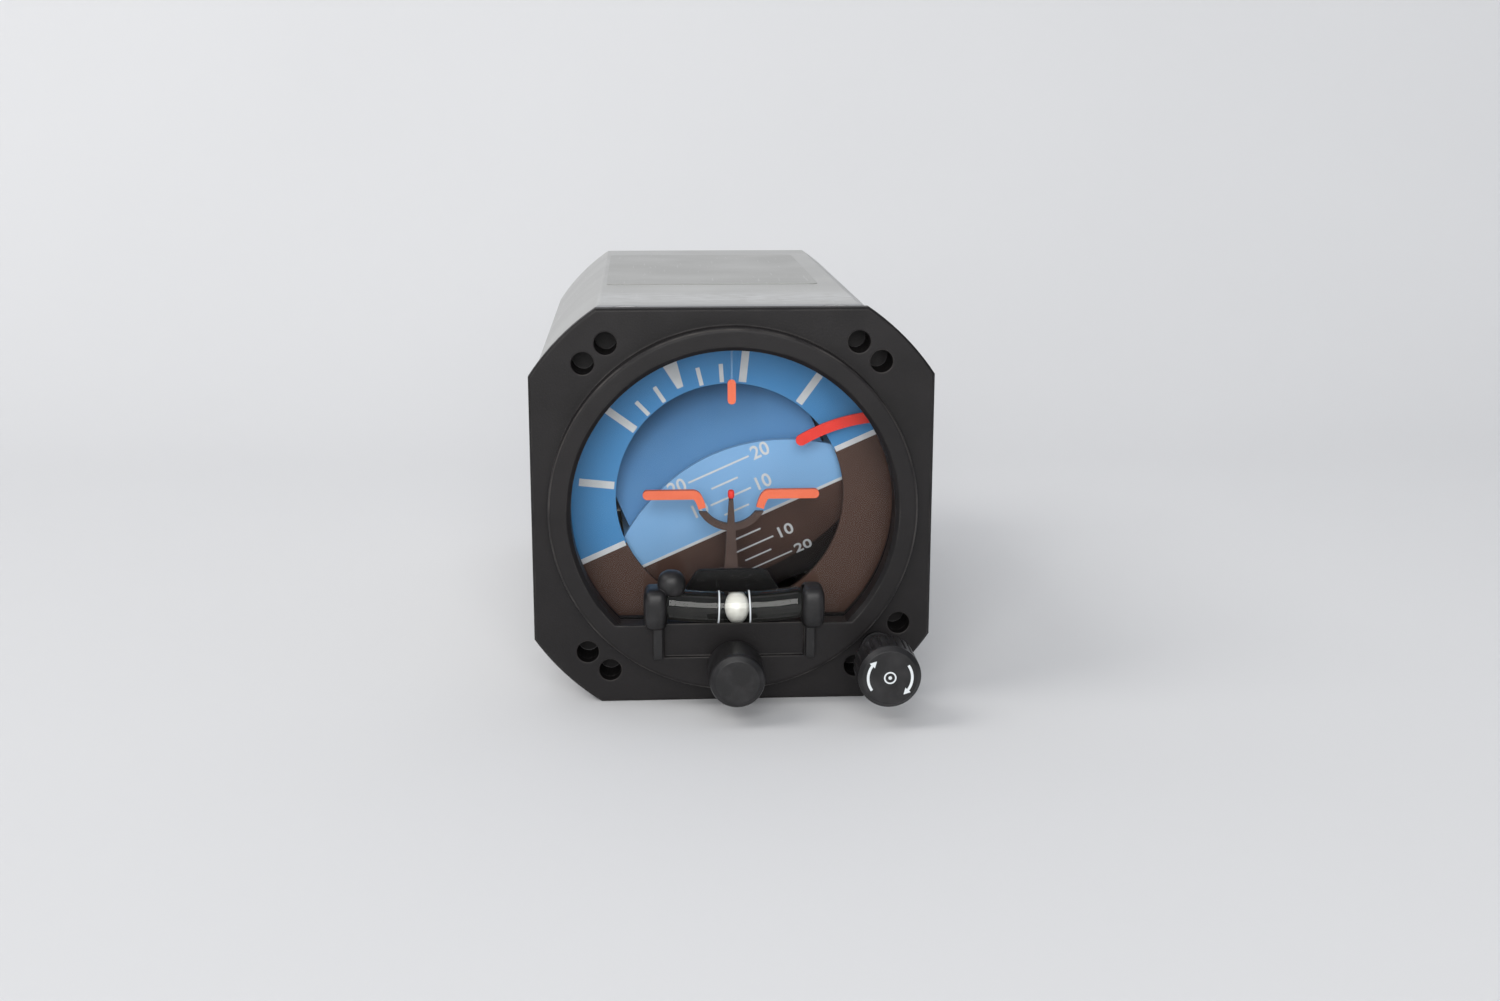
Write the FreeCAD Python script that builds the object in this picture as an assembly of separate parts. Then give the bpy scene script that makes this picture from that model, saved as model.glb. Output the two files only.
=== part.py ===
"""Panel-mounted attitude indicator (artificial horizon) with slip indicator, as separate pieces.

Frame: origin at the centre of the flange's front face, which seats against the back of the
instrument panel. +X is to the pilot's right, +Y runs forward into the case, +Z is up.
All lengths are in millimetres and all angles in degrees.
"""
import FreeCAD, Part
import math
import os

Vec = FreeCAD.Vector

# ---- clearances ---------------------------------------------------------------------------------
seat_gap = 0.02          # radial gap of a pressed or glued seat
run_gap = 0.05           # radial gap of a shaft that turns in its bearing
slide_gap = 0.10         # gap of a sliding piece to its guide
free_gap = 0.30          # smallest gap between pieces that only pass each other
backlash = 0.08          # taken off every gear tooth's thickness

# ---- flange, boss and window --------------------------------------------------------------------
flange_half = 42.86      # half of the 3.375 inch square flange
flange_corner_r = 51.54  # circle that clips the flange's corners
flange_t = 3.0
flange_edge = 0.5        # rounding of the flange's front edge
boss_r = 39.2            # raised boss that fills the panel cut-out
boss_h = 4.5
boss_edge = 0.8
window_r = 34.4
window_floor_z = -24.4   # the window's straight lower edge
window_bevel = 0.9
bolt_circle_r = 44.45    # 3.5 inch bolt circle
bolt_hole_r = 2.4
bolt_angles = (45.0, 135.0, 225.0, 53.2, 126.8, 233.2, 306.8, 324.2)
bolt_depth = 6.0         # of the tapped holes behind the flange

# ---- lens and its ring --------------------------------------------------------------------------
lens_front_y = 0.6
lens_t = 2.0
lens_lap = 2.1           # how far the lens reaches behind the window's edge
lens_gap = 0.1
gasket_t = 0.6
retainer_t = 1.2
retainer_r = 38.8
retainer_lap = 0.4       # the ring's opening is this much wider than the window
retainer_floor = 3.6     # height of the ring's straight lower bar
retainer_screw_r = 0.7
retainer_screw_head_r = 1.2
retainer_screw_head_t = 0.6
retainer_screw_length = 1.6
retainer_screw_circle_r = 37.72
retainer_screw_angles = (12.0, 65.0, 115.0, 168.0)

# ---- front frame and case -----------------------------------------------------------------------
frame_inset = 0.56       # the frame is this much smaller than the flange all round
frame_corner_inset = 0.64
frame_half = flange_half - frame_inset
frame_corner_r = flange_corner_r - frame_corner_inset
frame_depth = 8.0
frame_bore_r = 39.5
cover_inset = 0.3        # the cover is this much smaller than the frame all round
cover_corner_inset = 0.4
cover_half = frame_half - cover_inset
cover_corner_r = frame_corner_r - cover_corner_inset
cover_wall = 0.8
cover_end_y = 148.0
rear_plate_t = 2.0
frame_lug_depth = 5.0    # corner lugs that the cover slides over
frame_lug_wall = 1.9     # the lugs start this far outside the frame's bore
frame_lug_start = 24.0   # the lugs fill the corners beyond this x and z
case_screw_x = 22.4
case_screw_head_r = 2.75
case_screw_head_t = 1.2
case_screw_r = 1.2
case_screw_length = 5.0

# ---- chassis posts, bulkhead, rear --------------------------------------------------------------
post_r = 2.2
post_wall_gap = 2.5      # from the posts to the cover's corners
post_circle_r = cover_corner_r - cover_wall - post_r - post_wall_gap
post_angles = (45.0, 135.0, 225.0, 306.2)
bulkhead_y = 96.0
bulkhead_t = 4.0
bulkhead_vent_r = 9.0
bulkhead_vent_circle_r = 26.0
bearing_housing_r = 10.5
bearing_housing_front_y = 84.0
bearing_housing_rear_y = 109.0
board_y = 132.0
board_t = 1.6
board_gap = 2.7          # from the board's edges to the cover
board_half = cover_half - cover_wall - board_gap
transformer_x = -17.0
coil_half_x = 9.0
coil_half_z = 12.0
coil_h = 11.0
core_half_x = 7.0
core_half_z = 16.0
core_h = 13.0
capacitor_x = 20.0
capacitor_z = 13.0
capacitor_r = 5.0
capacitor_h = 12.0
heat_sink_half_x = 6.0
heat_sink_half_z = 4.0
heat_sink_h = 3.0
regulator_half_x = 4.0
regulator_half_z = 2.5
regulator_h = 7.0
rear_screw_head_r = 2.6
rear_screw_head_t = 1.4
rear_screw_r = 1.2
rear_screw_length = 8.0
connector_r = 9.5
connector_flange_half = 11.5
connector_flange_t = 1.6
connector_length = 13.0
connector_wall = 1.0
connector_insert_length = 8.0
connector_pin_r = 0.55
connector_pin_length = 5.0
connector_pin_circle_r = 5.4
connector_pin_count = 9
connector_screw_r = 1.0
connector_screw_head_r = 1.7
connector_screw_head_t = 1.0

# ---- roll gimbal --------------------------------------------------------------------------------
roll_rest = 23.9         # the gimbal rests rolled this far to the left
dial_front_y = 12.0
dial_t = 1.2
dial_r = 38.5
dial_inner_r = 25.1
pitch_axis_y = 48.5
fork_x = 27.5            # inner face of the fork's arms
fork_t = 3.5
fork_half_z = 12.0       # at the pitch axis
fork_tip_half_z = 8.0    # at the dial
fork_slot_half_z = 4.5
hub_y = 76.0
hub_t = 4.0
hub_r = 13.0
hub_bar_half_z = 9.0
hub_strap_half_x = 8.0
roll_shaft_r = 3.0
roll_shaft_end_y = 128.0
roll_shaft_flange_r = 6.5
roll_shaft_flange_t = 1.0
roll_bearing_r = 8.0
roll_bearing_t = 5.0
roll_bearing_groove = 0.6
heart_cam_r = 10.5
heart_cam_throw = 3.0
heart_cam_t = 2.2
slip_ring_count = 5
slip_ring_pitch = 2.6
slip_ring_w = 1.4
slip_ring_r = 5.2
slip_core_r = 4.6
slip_start_y = 112.0
brush_foot_x = 7.0
brush_foot_t = 3.0
brush_foot_half_z = 6.0
brush_post_x = 12.0
brush_post_half_z = 5.0
brush_block_x = 17.0
brush_half_y = 0.3
brush_half_z = 0.4
brush_bite = 0.5         # how far each brush sits in its block

# ---- backdrop shell behind the drum -------------------------------------------------------------
shell_r = 31.8
shell_t = 0.8
shell_half_x = 23.4

# ---- pitch drum ---------------------------------------------------------------------------------
drum_pitch_rest = 11.2   # nose-up pitch that the drum shows at rest
drum_r = 34.0
drum_t = 0.8
drum_half_x = 25.4
drum_top_angle = 27.0    # where the drum's edge lies at its middle
drum_edge_r = 43.0       # radius of the drum's curved upper and lower edges
drum_arm_t = 1.5
drum_hub_r = 4.6
drum_arm_tip_half_z = 6.4
drum_tail = 17.0         # the counterweight's distance behind the axis
drum_weight_half_z = 7.0
drum_weight_half_y = 4.5
drum_weight_t = 3.0
sleeve_r = 3.0
pitch_bearing_r = 5.0

# ---- reversing gears between gyro and drum ------------------------------------------------------
gear_module = 0.5
main_teeth = 20
idler_teeth = 14
gear_layer_t = 1.2
gear_layer_gap = 0.2
gear_first_gap = 0.5     # from the fork's outer face to the first gear
stud_r = 1.0
stud_head_r = 1.8
stud_head_t = 0.6
pressure_angle = 20.0

# ---- gyro ---------------------------------------------------------------------------------------
pivot_r = 1.5
housing_r = 22.0
housing_half_z = 14.0
housing_wall = 1.2
housing_pivot_boss_r = 4.0
housing_pivot_boss_end = 23.4
rotor_r = 18.0
rotor_bore_r = 11.6
rotor_half_z = 7.5
rotor_web_t = 2.2
rotor_shaft_r = 1.5
rotor_bearing_r = 4.0
rotor_bearing_t = 3.0
stator_r = 11.0
stator_bore_r = 3.4
stator_pole_count = 6
stator_slot_w = 1.6
stator_base_t = 1.6
erector_r = 9.0
erector_t = 3.0
erector_ball_r = 1.2
erector_ball_count = 3
erector_ball_circle_r = 6.0
erector_stub_r = 1.6
erector_rise = 1.6       # from the housing's roof to the wheel
balance_stud_r = 1.0
balance_nut_r = 3.0
balance_nut_t = 1.6
balance_z = -5.0

# ---- miniature aircraft, its rack and the adjusting knob ----------------------------------------
adjust_z = -32.7
adjust_shaft_r = 1.5
adjust_bush_r = 2.8
adjust_bush_flange_r = 4.2
adjust_bush_flange_t = 0.8
adjust_bush_tail = 1.4   # how far the bush reaches behind the flange
adjust_knob_r = 5.85
adjust_knob_front_y = -19.0
adjust_knob_length = 11.0
adjust_knob_edge = 0.9
pinion_teeth = 12
pinion_t = 1.4
symbol_y = 7.0
symbol_t = 1.4
symbol_z = 1.45          # height of the wings
symbol_bar = 2.0
wing_tip_x = 19.2
wing_root_x = 7.0
arc_r = 7.3
arc_bar = 1.5
mast_top_w = 0.9
mast_foot_w = 3.0
mast_foot_z = -15.5
pip_r = 1.15
slider_t = 1.4
slider_half_x = 7.0
slider_top_z = -16.5
slider_bridge_z = -20.0
rack_foot_z = -36.3
rack_head_z = -22.0
symbol_travel = 2.0
pedestal_t = 1.6
pedestal_top_z = -14.8
pedestal_top_half_x = 7.5
pedestal_half_x = 13.0
pedestal_foot_z = -27.6
rail_t = 1.6
keeper_t = 0.7

# ---- index, flag --------------------------------------------------------------------------------
index_bottom_z = 21.75
index_top_z = 27.05
index_w = 1.75
index_t = 0.9
index_neck_w = 0.4
index_foot_half_x = 2.5
flag_pivot_x = 33.0
flag_pivot_z = 18.0
flag_tip_x = 15.4
flag_tip_z = 12.9
flag_arc_r = 37.5
flag_w = 2.4
flag_t = 0.6
flag_coil_r = 1.9
flag_coil_length = 4.4
flag_pin_r = 0.5
flag_gap = 0.4
flag_hub_r = 1.7

# ---- slip indicator -----------------------------------------------------------------------------
tube_y = -3.9
tube_z = -20.7           # centre of the tube's bore at its lowest point
tube_bend_r = 105.0
tube_r = 3.4
tube_bore_r = 2.9
tube_half_angle = 9.2
slip_ball_r = 2.6
slip_ball_rest_x = 0.6
tube_line_x = 3.3
tube_line_w = 0.6
tube_line_t = 0.15
cap_inner_x = 14.2
cap_outer_x = 19.3
cap_top_z = -15.9
cap_bottom_z = -25.0
cap_front_y = -8.2
cap_edge = 1.6
cap_leg_inner_x = 15.3
cap_leg_outer_x = 17.3
cap_leg_foot_z = -31.6
cap_leg_t = 1.7
filler_x = -13.3
filler_z = -15.3
filler_r = 3.0
filler_front_y = -7.0
filler_back_y = -1.5
recess_half_x = 15.0
recess_foot_z = -31.6
recess_depth = 1.0

# ---- caging knob and its rod --------------------------------------------------------------------
cage_angle = -45.0
cage_rod_r = 1.5
cage_rod_end_y = 112.0
cage_bush_r = 3.0
cage_bush_flange_r = 3.6
cage_bush_flange_t = 1.2
cage_knob_r = 6.6
cage_knob_front_y = -21.5
cage_knob_length = 9.5
cage_knob_cover = 3.2    # of knob in front of the rod's end
cage_knob_groove_count = 24
cage_knob_groove_r = 0.35
cage_neck_r = 4.0
cage_travel = 8.0
cage_collar_r = 3.2
cage_collar_t = 1.5
cage_collar_y = 38.0
cage_arm_y = 91.0
cage_arm_t = 2.5
cage_arm_hub_r = 3.6
cage_arm_w = 5.0
cage_roller_circle_r = 17.5
cage_roller_r = 1.8
spring_wire_r = 0.3
spring_turns = 9
spring_mean_r = 2.35


# ---- helpers ------------------------------------------------------------------------------------
def box(x0, x1, y0, y1, z0, z1):
    return Part.makeBox(x1 - x0, y1 - y0, z1 - z0, Vec(x0, y0, z0))


def rod_y(radius, y0, y1, x=0.0, z=0.0):
    return Part.makeCylinder(radius, y1 - y0, Vec(x, y0, z), Vec(0, 1, 0))


def rod_x(radius, x0, x1, y=0.0, z=0.0):
    return Part.makeCylinder(radius, x1 - x0, Vec(x0, y, z), Vec(1, 0, 0))


def rod_z(radius, z0, z1, x=0.0, y=0.0):
    return Part.makeCylinder(radius, z1 - z0, Vec(x, y, z0), Vec(0, 0, 1))


def ring_y(outer, inner, y0, y1, x=0.0, z=0.0):
    return rod_y(outer, y0, y1, x, z).cut(rod_y(inner, y0 - 1, y1 + 1, x, z))


def ring_x(outer, inner, x0, x1, y=0.0, z=0.0):
    return rod_x(outer, x0, x1, y, z).cut(rod_x(inner, x0 - 1, x1 + 1, y, z))


def fuse(*shapes):
    return shapes[0].multiFuse(list(shapes[1:])).removeSplitter()


def group(shapes):
    return Part.makeCompound(list(shapes))


def on_circle(radius, angle):
    """x and z of a point on a circle in the front plane."""
    return radius * math.cos(math.radians(angle)), radius * math.sin(math.radians(angle))


def clipped_square(half, corner_r, y0, y1):
    """A square block whose corners are clipped by a concentric circle."""
    return box(-half, half, y0, y1, -half, half).common(rod_y(corner_r, y0, y1))


def window_block(radius, floor_z, y0, y1):
    """A round block with a straight lower edge, the form of the window and what fits it."""
    return rod_y(radius, y0, y1).common(box(-radius, radius, y0, y1, floor_z, radius))


def prism(points, direction):
    """The polygon through the points, pushed along the direction."""
    closed = [Vec(*point) for point in points]
    closed.append(closed[0])
    return Part.Face(Part.makePolygon(closed)).extrude(Vec(*direction))


def revolve_y(points, x=0.0, z=0.0):
    """Turns a profile of (radius, y) points about an axis along Y."""
    closed = [Vec(x + radius, y, z) for radius, y in points]
    closed.append(closed[0])
    return Part.Face(Part.makePolygon(closed)).revolve(Vec(x, 0, z), Vec(0, 1, 0), 360)


def revolve_z(points):
    """Turns a profile of (radius, z) points about the Z axis."""
    closed = [Vec(radius, 0, z) for radius, z in points]
    closed.append(closed[0])
    return Part.Face(Part.makePolygon(closed)).revolve(Vec(0, 0, 0), Vec(0, 0, 1), 360)


def turned(shape, centre, axis, angle):
    copy = shape.copy()
    copy.rotate(Vec(*centre), Vec(*axis), angle)
    return copy


def rolled(shape):
    """Puts a piece of the roll gimbal in its rest attitude."""
    return turned(shape, (0, 0, 0), (0, 1, 0), -roll_rest)


def pitched(shape, angle):
    """Turns a piece about the pitch axis, then rolls it with the gimbal."""
    return rolled(turned(shape, (0, pitch_axis_y, 0), (1, 0, 0), angle))


def gyro_placed(shape):
    """Puts a piece drawn about the rotor's centre, spin axis up, in its rest attitude."""
    copy = shape.copy()
    copy.translate(Vec(0, pitch_axis_y, 0))
    return pitched(copy, -drum_pitch_rest)


def edges_at(shape, test):
    return [edge for edge in shape.Edges if test(edge)]


def gear_outline(teeth, phase):
    """Points (u, v) of an involute spur gear; a tooth's centre lies at the phase angle."""
    pitch_r = gear_module * teeth / 2
    base_r = pitch_r * math.cos(math.radians(pressure_angle))
    root_r = pitch_r - 1.25 * gear_module
    tip_r = pitch_r + gear_module
    flank = (max(base_r, root_r), pitch_r, (pitch_r + tip_r) / 2, tip_r)

    def involute(radius):
        pressure = math.acos(min(1.0, base_r / radius))
        return math.tan(pressure) - pressure

    half_tooth = (math.pi * gear_module / 2 - backlash) / 2 / pitch_r
    half_angles = [half_tooth + involute(pitch_r) - involute(radius) for radius in flank]
    half_angles = [max(angle, 0.02) for angle in half_angles]
    trail = [(root_r, -half_angles[0])]
    trail += [(radius, -angle) for radius, angle in zip(flank, half_angles)]
    trail += [(radius, angle) for radius, angle in reversed(list(zip(flank, half_angles)))]
    trail += [(root_r, half_angles[0])]
    points = []
    for tooth in range(teeth):
        centre = math.radians(phase) + 2 * math.pi * tooth / teeth
        for radius, angle in trail:
            points.append((radius * math.cos(centre + angle), radius * math.sin(centre + angle)))
    return points


def gear_x(teeth, phase, x0, x1, y, z, bore_r):
    """A spur gear whose axis runs along X; the phase is measured from +Y towards +Z."""
    points = [(x0, y + u, z + v) for u, v in gear_outline(teeth, phase)]
    return prism(points, (x1 - x0, 0, 0)).cut(rod_x(bore_r, x0 - 1, x1 + 1, y, z))


def mate_phase(teeth, phase, direction, mate_teeth):
    """The phase of a gear that meshes with another one, which it sees in the given direction."""
    share = (direction - phase) * teeth / 360.0
    return direction + 180.0 + (share - 0.5) * 360.0 / mate_teeth


# ---- derived sizes ------------------------------------------------------------------------------
lens_back_y = lens_front_y + lens_t
gasket_back_y = lens_back_y + gasket_t
retainer_back_y = gasket_back_y + retainer_t
frame_back_y = flange_t + frame_depth
case_back_y = cover_end_y + rear_plate_t
bulkhead_back_y = bulkhead_y + bulkhead_t
board_back_y = board_y + board_t
dial_back_y = dial_front_y + dial_t
fork_outer_x = fork_x + fork_t
hub_back_y = hub_y + hub_t
shell_inner_r = shell_r - shell_t
cage_x, cage_z = on_circle(bolt_circle_r, cage_angle)
gear_far_x = fork_outer_x + gear_first_gap
gear_mid_x = gear_far_x + gear_layer_t + gear_layer_gap
gear_near_x = gear_mid_x + gear_layer_t + gear_layer_gap
gear_end_x = gear_near_x + gear_layer_t
main_gear_r = gear_module * main_teeth / 2
idler_gear_r = gear_module * idler_teeth / 2
idler_distance = main_gear_r + idler_gear_r
idler_half_angle = math.degrees(math.asin(idler_gear_r / idler_distance))
pinion_r = gear_module * pinion_teeth / 2
rack_y = symbol_y + symbol_t + 0.2


def idler_centre(side):
    """y and z of an idler's axis; side is +1 for the upper one and -1 for the lower one."""
    angle = math.radians(side * idler_half_angle)
    return pitch_axis_y + idler_distance * math.cos(angle), idler_distance * math.sin(angle)


# ---- front: bezel, lens, frame ------------------------------------------------------------------
def bolt_holes(y0, y1):
    holes = [rod_y(bolt_hole_r, y0, y1, *on_circle(bolt_circle_r, angle)) for angle in bolt_angles]
    return group(holes)


def make_bezel():
    plate = clipped_square(flange_half, flange_corner_r, 0, flange_t)
    plate = plate.makeChamfer(flange_edge, edges_at(plate, lambda e: e.BoundBox.YMax < 0.01))
    boss = rod_y(boss_r, -boss_h, flange_t)
    front_rim = edges_at(boss, lambda e: e.BoundBox.YMax < -boss_h + 0.01)
    boss = boss.makeFillet(boss_edge, front_rim)
    body = fuse(plate, boss)
    window = window_block(window_r, window_floor_z, -boss_h - 1, flange_t + 1)
    pocket = window_block(window_r + lens_lap + lens_gap, window_floor_z - lens_lap / 2 - lens_gap,
                          lens_front_y, flange_t + 1)
    bevel_cut = Part.makeCone(window_r + window_bevel, window_r, window_bevel,
                              Vec(0, -boss_h, 0), Vec(0, 1, 0))
    bevel_cut = bevel_cut.common(box(-boss_r, boss_r, -boss_h, 0, window_floor_z, boss_r))
    recess = box(-recess_half_x, recess_half_x, -boss_h - 1, -boss_h + recess_depth,
                 recess_foot_z, window_floor_z + 1)
    adjust_bore = rod_y(adjust_bush_r + seat_gap, -boss_h - 1, flange_t + 1, 0, adjust_z)
    cage_bore = rod_y(cage_bush_r + seat_gap, -boss_h - 1, flange_t + 1, cage_x, cage_z)
    cage_flat = rod_y(cage_bush_flange_r + free_gap, -boss_h - 1, 0, cage_x, cage_z)
    screw_holes = [rod_y(retainer_screw_r + seat_gap, 1.4, flange_t + 1,
                         *on_circle(retainer_screw_circle_r, angle))
                   for angle in retainer_screw_angles]
    return body.cut(window).cut(pocket).cut(bevel_cut).cut(recess).cut(adjust_bore).cut(
        cage_bore).cut(cage_flat).cut(bolt_holes(-1, flange_t + 1)).cut(group(screw_holes))


def make_lens():
    return window_block(window_r + lens_lap, window_floor_z - lens_lap / 2, lens_front_y, lens_back_y)


def make_lens_gasket():
    outer = window_block(window_r + lens_lap, window_floor_z - lens_lap / 2, lens_back_y, gasket_back_y)
    inner = window_block(window_r + retainer_lap, window_floor_z - retainer_lap / 2,
                         lens_back_y - 1, gasket_back_y + 1)
    return outer.cut(inner)


def make_lens_retainer():
    outer = window_block(retainer_r, window_floor_z - retainer_floor, gasket_back_y, retainer_back_y)
    inner = window_block(window_r + retainer_lap, window_floor_z - retainer_lap / 2,
                         gasket_back_y - 1, retainer_back_y + 1)
    lip = outer.cut(inner)
    spacer = window_block(retainer_r, window_floor_z - retainer_floor, flange_t, gasket_back_y)
    spacer = spacer.cut(window_block(window_r + lens_lap + 2 * lens_gap,
                                     window_floor_z - lens_lap / 2 - 2 * lens_gap,
                                     flange_t - 1, gasket_back_y + 1))
    holes = [rod_y(retainer_screw_r + slide_gap, flange_t - 1, retainer_back_y + 1,
                   *on_circle(retainer_screw_circle_r, angle)) for angle in retainer_screw_angles]
    return fuse(lip, spacer).cut(group(holes))


def retainer_screws():
    screws = []
    for angle in retainer_screw_angles:
        x, z = on_circle(retainer_screw_circle_r, angle)
        shank = rod_y(retainer_screw_r, retainer_back_y - retainer_t - retainer_screw_length,
                      retainer_back_y, x, z)
        head = rod_y(retainer_screw_head_r, retainer_back_y, retainer_back_y + retainer_screw_head_t, x, z)
        screws.append(fuse(shank, head))
    return screws


def make_front_screws():
    """Screws of the lens ring and the flush screws in the rim of the front frame."""
    return group(retainer_screws() + case_screws())


def make_front_frame():
    rim = clipped_square(frame_half, frame_corner_r, flange_t, frame_back_y)
    lug_half = cover_half - cover_wall - slide_gap
    lug_corner_r = cover_corner_r - cover_wall - slide_gap
    lugs = clipped_square(lug_half, lug_corner_r, frame_back_y, frame_back_y + frame_lug_depth)
    cross = fuse(box(-frame_lug_start, frame_lug_start, frame_back_y, frame_back_y + frame_lug_depth,
                     -frame_half, frame_half),
                 box(-frame_half, frame_half, frame_back_y, frame_back_y + frame_lug_depth,
                     -frame_lug_start, frame_lug_start))
    lugs = lugs.cut(cross).cut(rod_y(frame_bore_r + frame_lug_wall, frame_back_y,
                                     frame_back_y + frame_lug_depth))
    body = fuse(rim, lugs).cut(rod_y(frame_bore_r, flange_t - 1, frame_back_y + 1))
    cage_bore = rod_y(cage_bush_r + seat_gap, flange_t - 1, frame_back_y + frame_lug_depth + 1,
                      cage_x, cage_z)
    return body.cut(cage_bore).cut(bolt_holes(flange_t - 1, flange_t + bolt_depth)).cut(
        case_screw_cuts())


def case_screw_places():
    return [(x, side) for side in (1, -1) for x in (-case_screw_x, case_screw_x)]


def case_screw_solid(x, side, head_r, shank_r, extra):
    y = flange_t + frame_depth / 2
    top = frame_half + extra
    head_low = frame_half - case_screw_head_t
    shank_low = frame_half - case_screw_length
    if side > 0:
        return fuse(rod_z(head_r, head_low, top, x, y), rod_z(shank_r, shank_low, head_low, x, y))
    return fuse(rod_z(head_r, -top, -head_low, x, y), rod_z(shank_r, -head_low, -shank_low, x, y))


def case_screw_cuts():
    return group([case_screw_solid(x, side, case_screw_head_r + slide_gap,
                                   case_screw_r + seat_gap, 1) for x, side in case_screw_places()])


def case_screws():
    return [case_screw_solid(x, side, case_screw_head_r, case_screw_r, 0)
            for x, side in case_screw_places()]


def make_case_cover():
    outer = clipped_square(cover_half, cover_corner_r, frame_back_y, cover_end_y)
    inner = clipped_square(cover_half - cover_wall, cover_corner_r - cover_wall,
                           frame_back_y - 1, cover_end_y + 1)
    return outer.cut(inner)


# ---- chassis ------------------------------------------------------------------------------------
def post_places():
    return [on_circle(post_circle_r, angle) for angle in post_angles]


def posts_between(y0, y1):
    return [rod_y(post_r, y0, y1, x, z) for x, z in post_places()]


def make_chassis_posts():
    """Three sets of four posts: frame to bulkhead, bulkhead to board, board to rear plate."""
    front = posts_between(frame_back_y + frame_lug_depth, bulkhead_y)
    middle = posts_between(bulkhead_back_y, board_y)
    rear = posts_between(board_back_y, cover_end_y)
    holes = [rod_y(rear_screw_r + seat_gap, cover_end_y - rear_screw_length, cover_end_y + 1, x, z)
             for x, z in post_places()]
    return group(front + middle + [post.cut(hole) for post, hole in zip(rear, holes)])


def make_bearing_bulkhead():
    half = cover_half - cover_wall - free_gap
    plate = clipped_square(half, cover_corner_r - cover_wall - free_gap, bulkhead_y, bulkhead_back_y)
    vents = [rod_y(bulkhead_vent_r, bulkhead_y - 1, bulkhead_back_y + 1,
                   *on_circle(bulkhead_vent_circle_r, angle)) for angle in (0, 90, 180, 270)]
    tower = rod_y(bearing_housing_r, bearing_housing_front_y, bearing_housing_rear_y)
    bore = rod_y(roll_shaft_r + 1.5, bearing_housing_front_y - 1, bearing_housing_rear_y + 1)
    front_seat = rod_y(roll_bearing_r + seat_gap, bearing_housing_front_y - 1,
                       bearing_housing_front_y + roll_bearing_t)
    rear_seat = rod_y(roll_bearing_r + seat_gap, bearing_housing_rear_y - roll_bearing_t,
                      bearing_housing_rear_y + 1)
    cage_hole = rod_y(cage_rod_r + run_gap, bulkhead_y - 1, bulkhead_back_y + 1, cage_x, cage_z)
    body = fuse(plate.cut(group(vents)), tower)
    return body.cut(bore).cut(front_seat).cut(rear_seat).cut(cage_hole)


def roll_bearing(y0):
    """Shielded ball bearing: a ring with a shallow groove on each face."""
    y1 = y0 + roll_bearing_t
    inner = roll_shaft_r + run_gap
    ring = ring_y(roll_bearing_r, inner, y0, y1)
    middle = (roll_bearing_r + inner) / 2
    groove_half = (roll_bearing_r - inner) / 4
    for low, high in ((y0 - 1, y0 + roll_bearing_groove), (y1 - roll_bearing_groove, y1 + 1)):
        ring = ring.cut(ring_y(middle + groove_half, middle - groove_half, low, high))
    return ring


def make_roll_bearings():
    return group([roll_bearing(bearing_housing_front_y),
                  roll_bearing(bearing_housing_rear_y - roll_bearing_t)])


def make_power_board():
    corner_r = cover_corner_r - cover_wall - free_gap
    board = clipped_square(board_half, corner_r, board_y, board_back_y)
    return board.cut(rod_y(roll_shaft_r + 2.5, board_y - 1, board_back_y + 1))


def block_on_board(x, half_x, half_z, height):
    return box(x - half_x, x + half_x, board_back_y, board_back_y + height, -half_z, half_z)


def make_board_parts():
    """Transformer, two capacitors and a regulator on the board's rear face."""
    transformer = fuse(block_on_board(transformer_x, coil_half_x, coil_half_z, coil_h),
                       block_on_board(transformer_x, core_half_x, core_half_z, core_h))
    capacitors = [rod_y(capacitor_r, board_back_y, board_back_y + capacitor_h, capacitor_x, z)
                  for z in (-capacitor_z, capacitor_z)]
    regulator = fuse(block_on_board(capacitor_x, heat_sink_half_x, heat_sink_half_z, heat_sink_h),
                     block_on_board(capacitor_x, regulator_half_x, regulator_half_z, regulator_h))
    return group([transformer, regulator] + capacitors)


def make_brush_block():
    """Insulating block on the bulkhead with one spring wire brush for each slip ring."""
    length = slip_ring_count * slip_ring_pitch
    foot = box(brush_foot_x, brush_block_x, bulkhead_back_y, bulkhead_back_y + brush_foot_t,
               -brush_foot_half_z, brush_foot_half_z)
    post = box(brush_post_x, brush_block_x, bulkhead_back_y, slip_start_y + length,
               -brush_post_half_z, brush_post_half_z)
    block = fuse(foot, post).cut(rod_y(bearing_housing_r + free_gap, bulkhead_back_y - 1,
                                       bearing_housing_rear_y + 1))
    brushes = []
    for index in range(slip_ring_count):
        y = slip_start_y + (index + 0.5) * slip_ring_pitch
        brushes.append(box(slip_ring_r + free_gap, brush_post_x + brush_bite,
                           y - brush_half_y, y + brush_half_y, -brush_half_z, brush_half_z))
    return fuse(block, *brushes)


def make_rear_plate():
    plate = clipped_square(cover_half, cover_corner_r, cover_end_y, case_back_y)
    holes = [rod_y(rear_screw_r + slide_gap, cover_end_y - 1, case_back_y + 1, x, z)
             for x, z in post_places()]
    connector = rod_y(connector_r - connector_wall, cover_end_y - 1, case_back_y + 1)
    small = [rod_y(connector_screw_r + seat_gap, cover_end_y - 1, case_back_y + 1, x, z)
             for x, z in connector_screw_places()]
    return plate.cut(group(holes)).cut(connector).cut(group(small))


def rear_plate_screws():
    screws = []
    for x, z in post_places():
        shank = rod_y(rear_screw_r, cover_end_y - rear_screw_length + 0.5, case_back_y, x, z)
        head = rod_y(rear_screw_head_r, case_back_y, case_back_y + rear_screw_head_t, x, z)
        screws.append(fuse(shank, head))
    return screws


def connector_screw_places():
    offset = connector_flange_half - connector_screw_head_r - 0.3
    return [(sx * offset, sz * offset) for sx in (-1, 1) for sz in (-1, 1)]


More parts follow.
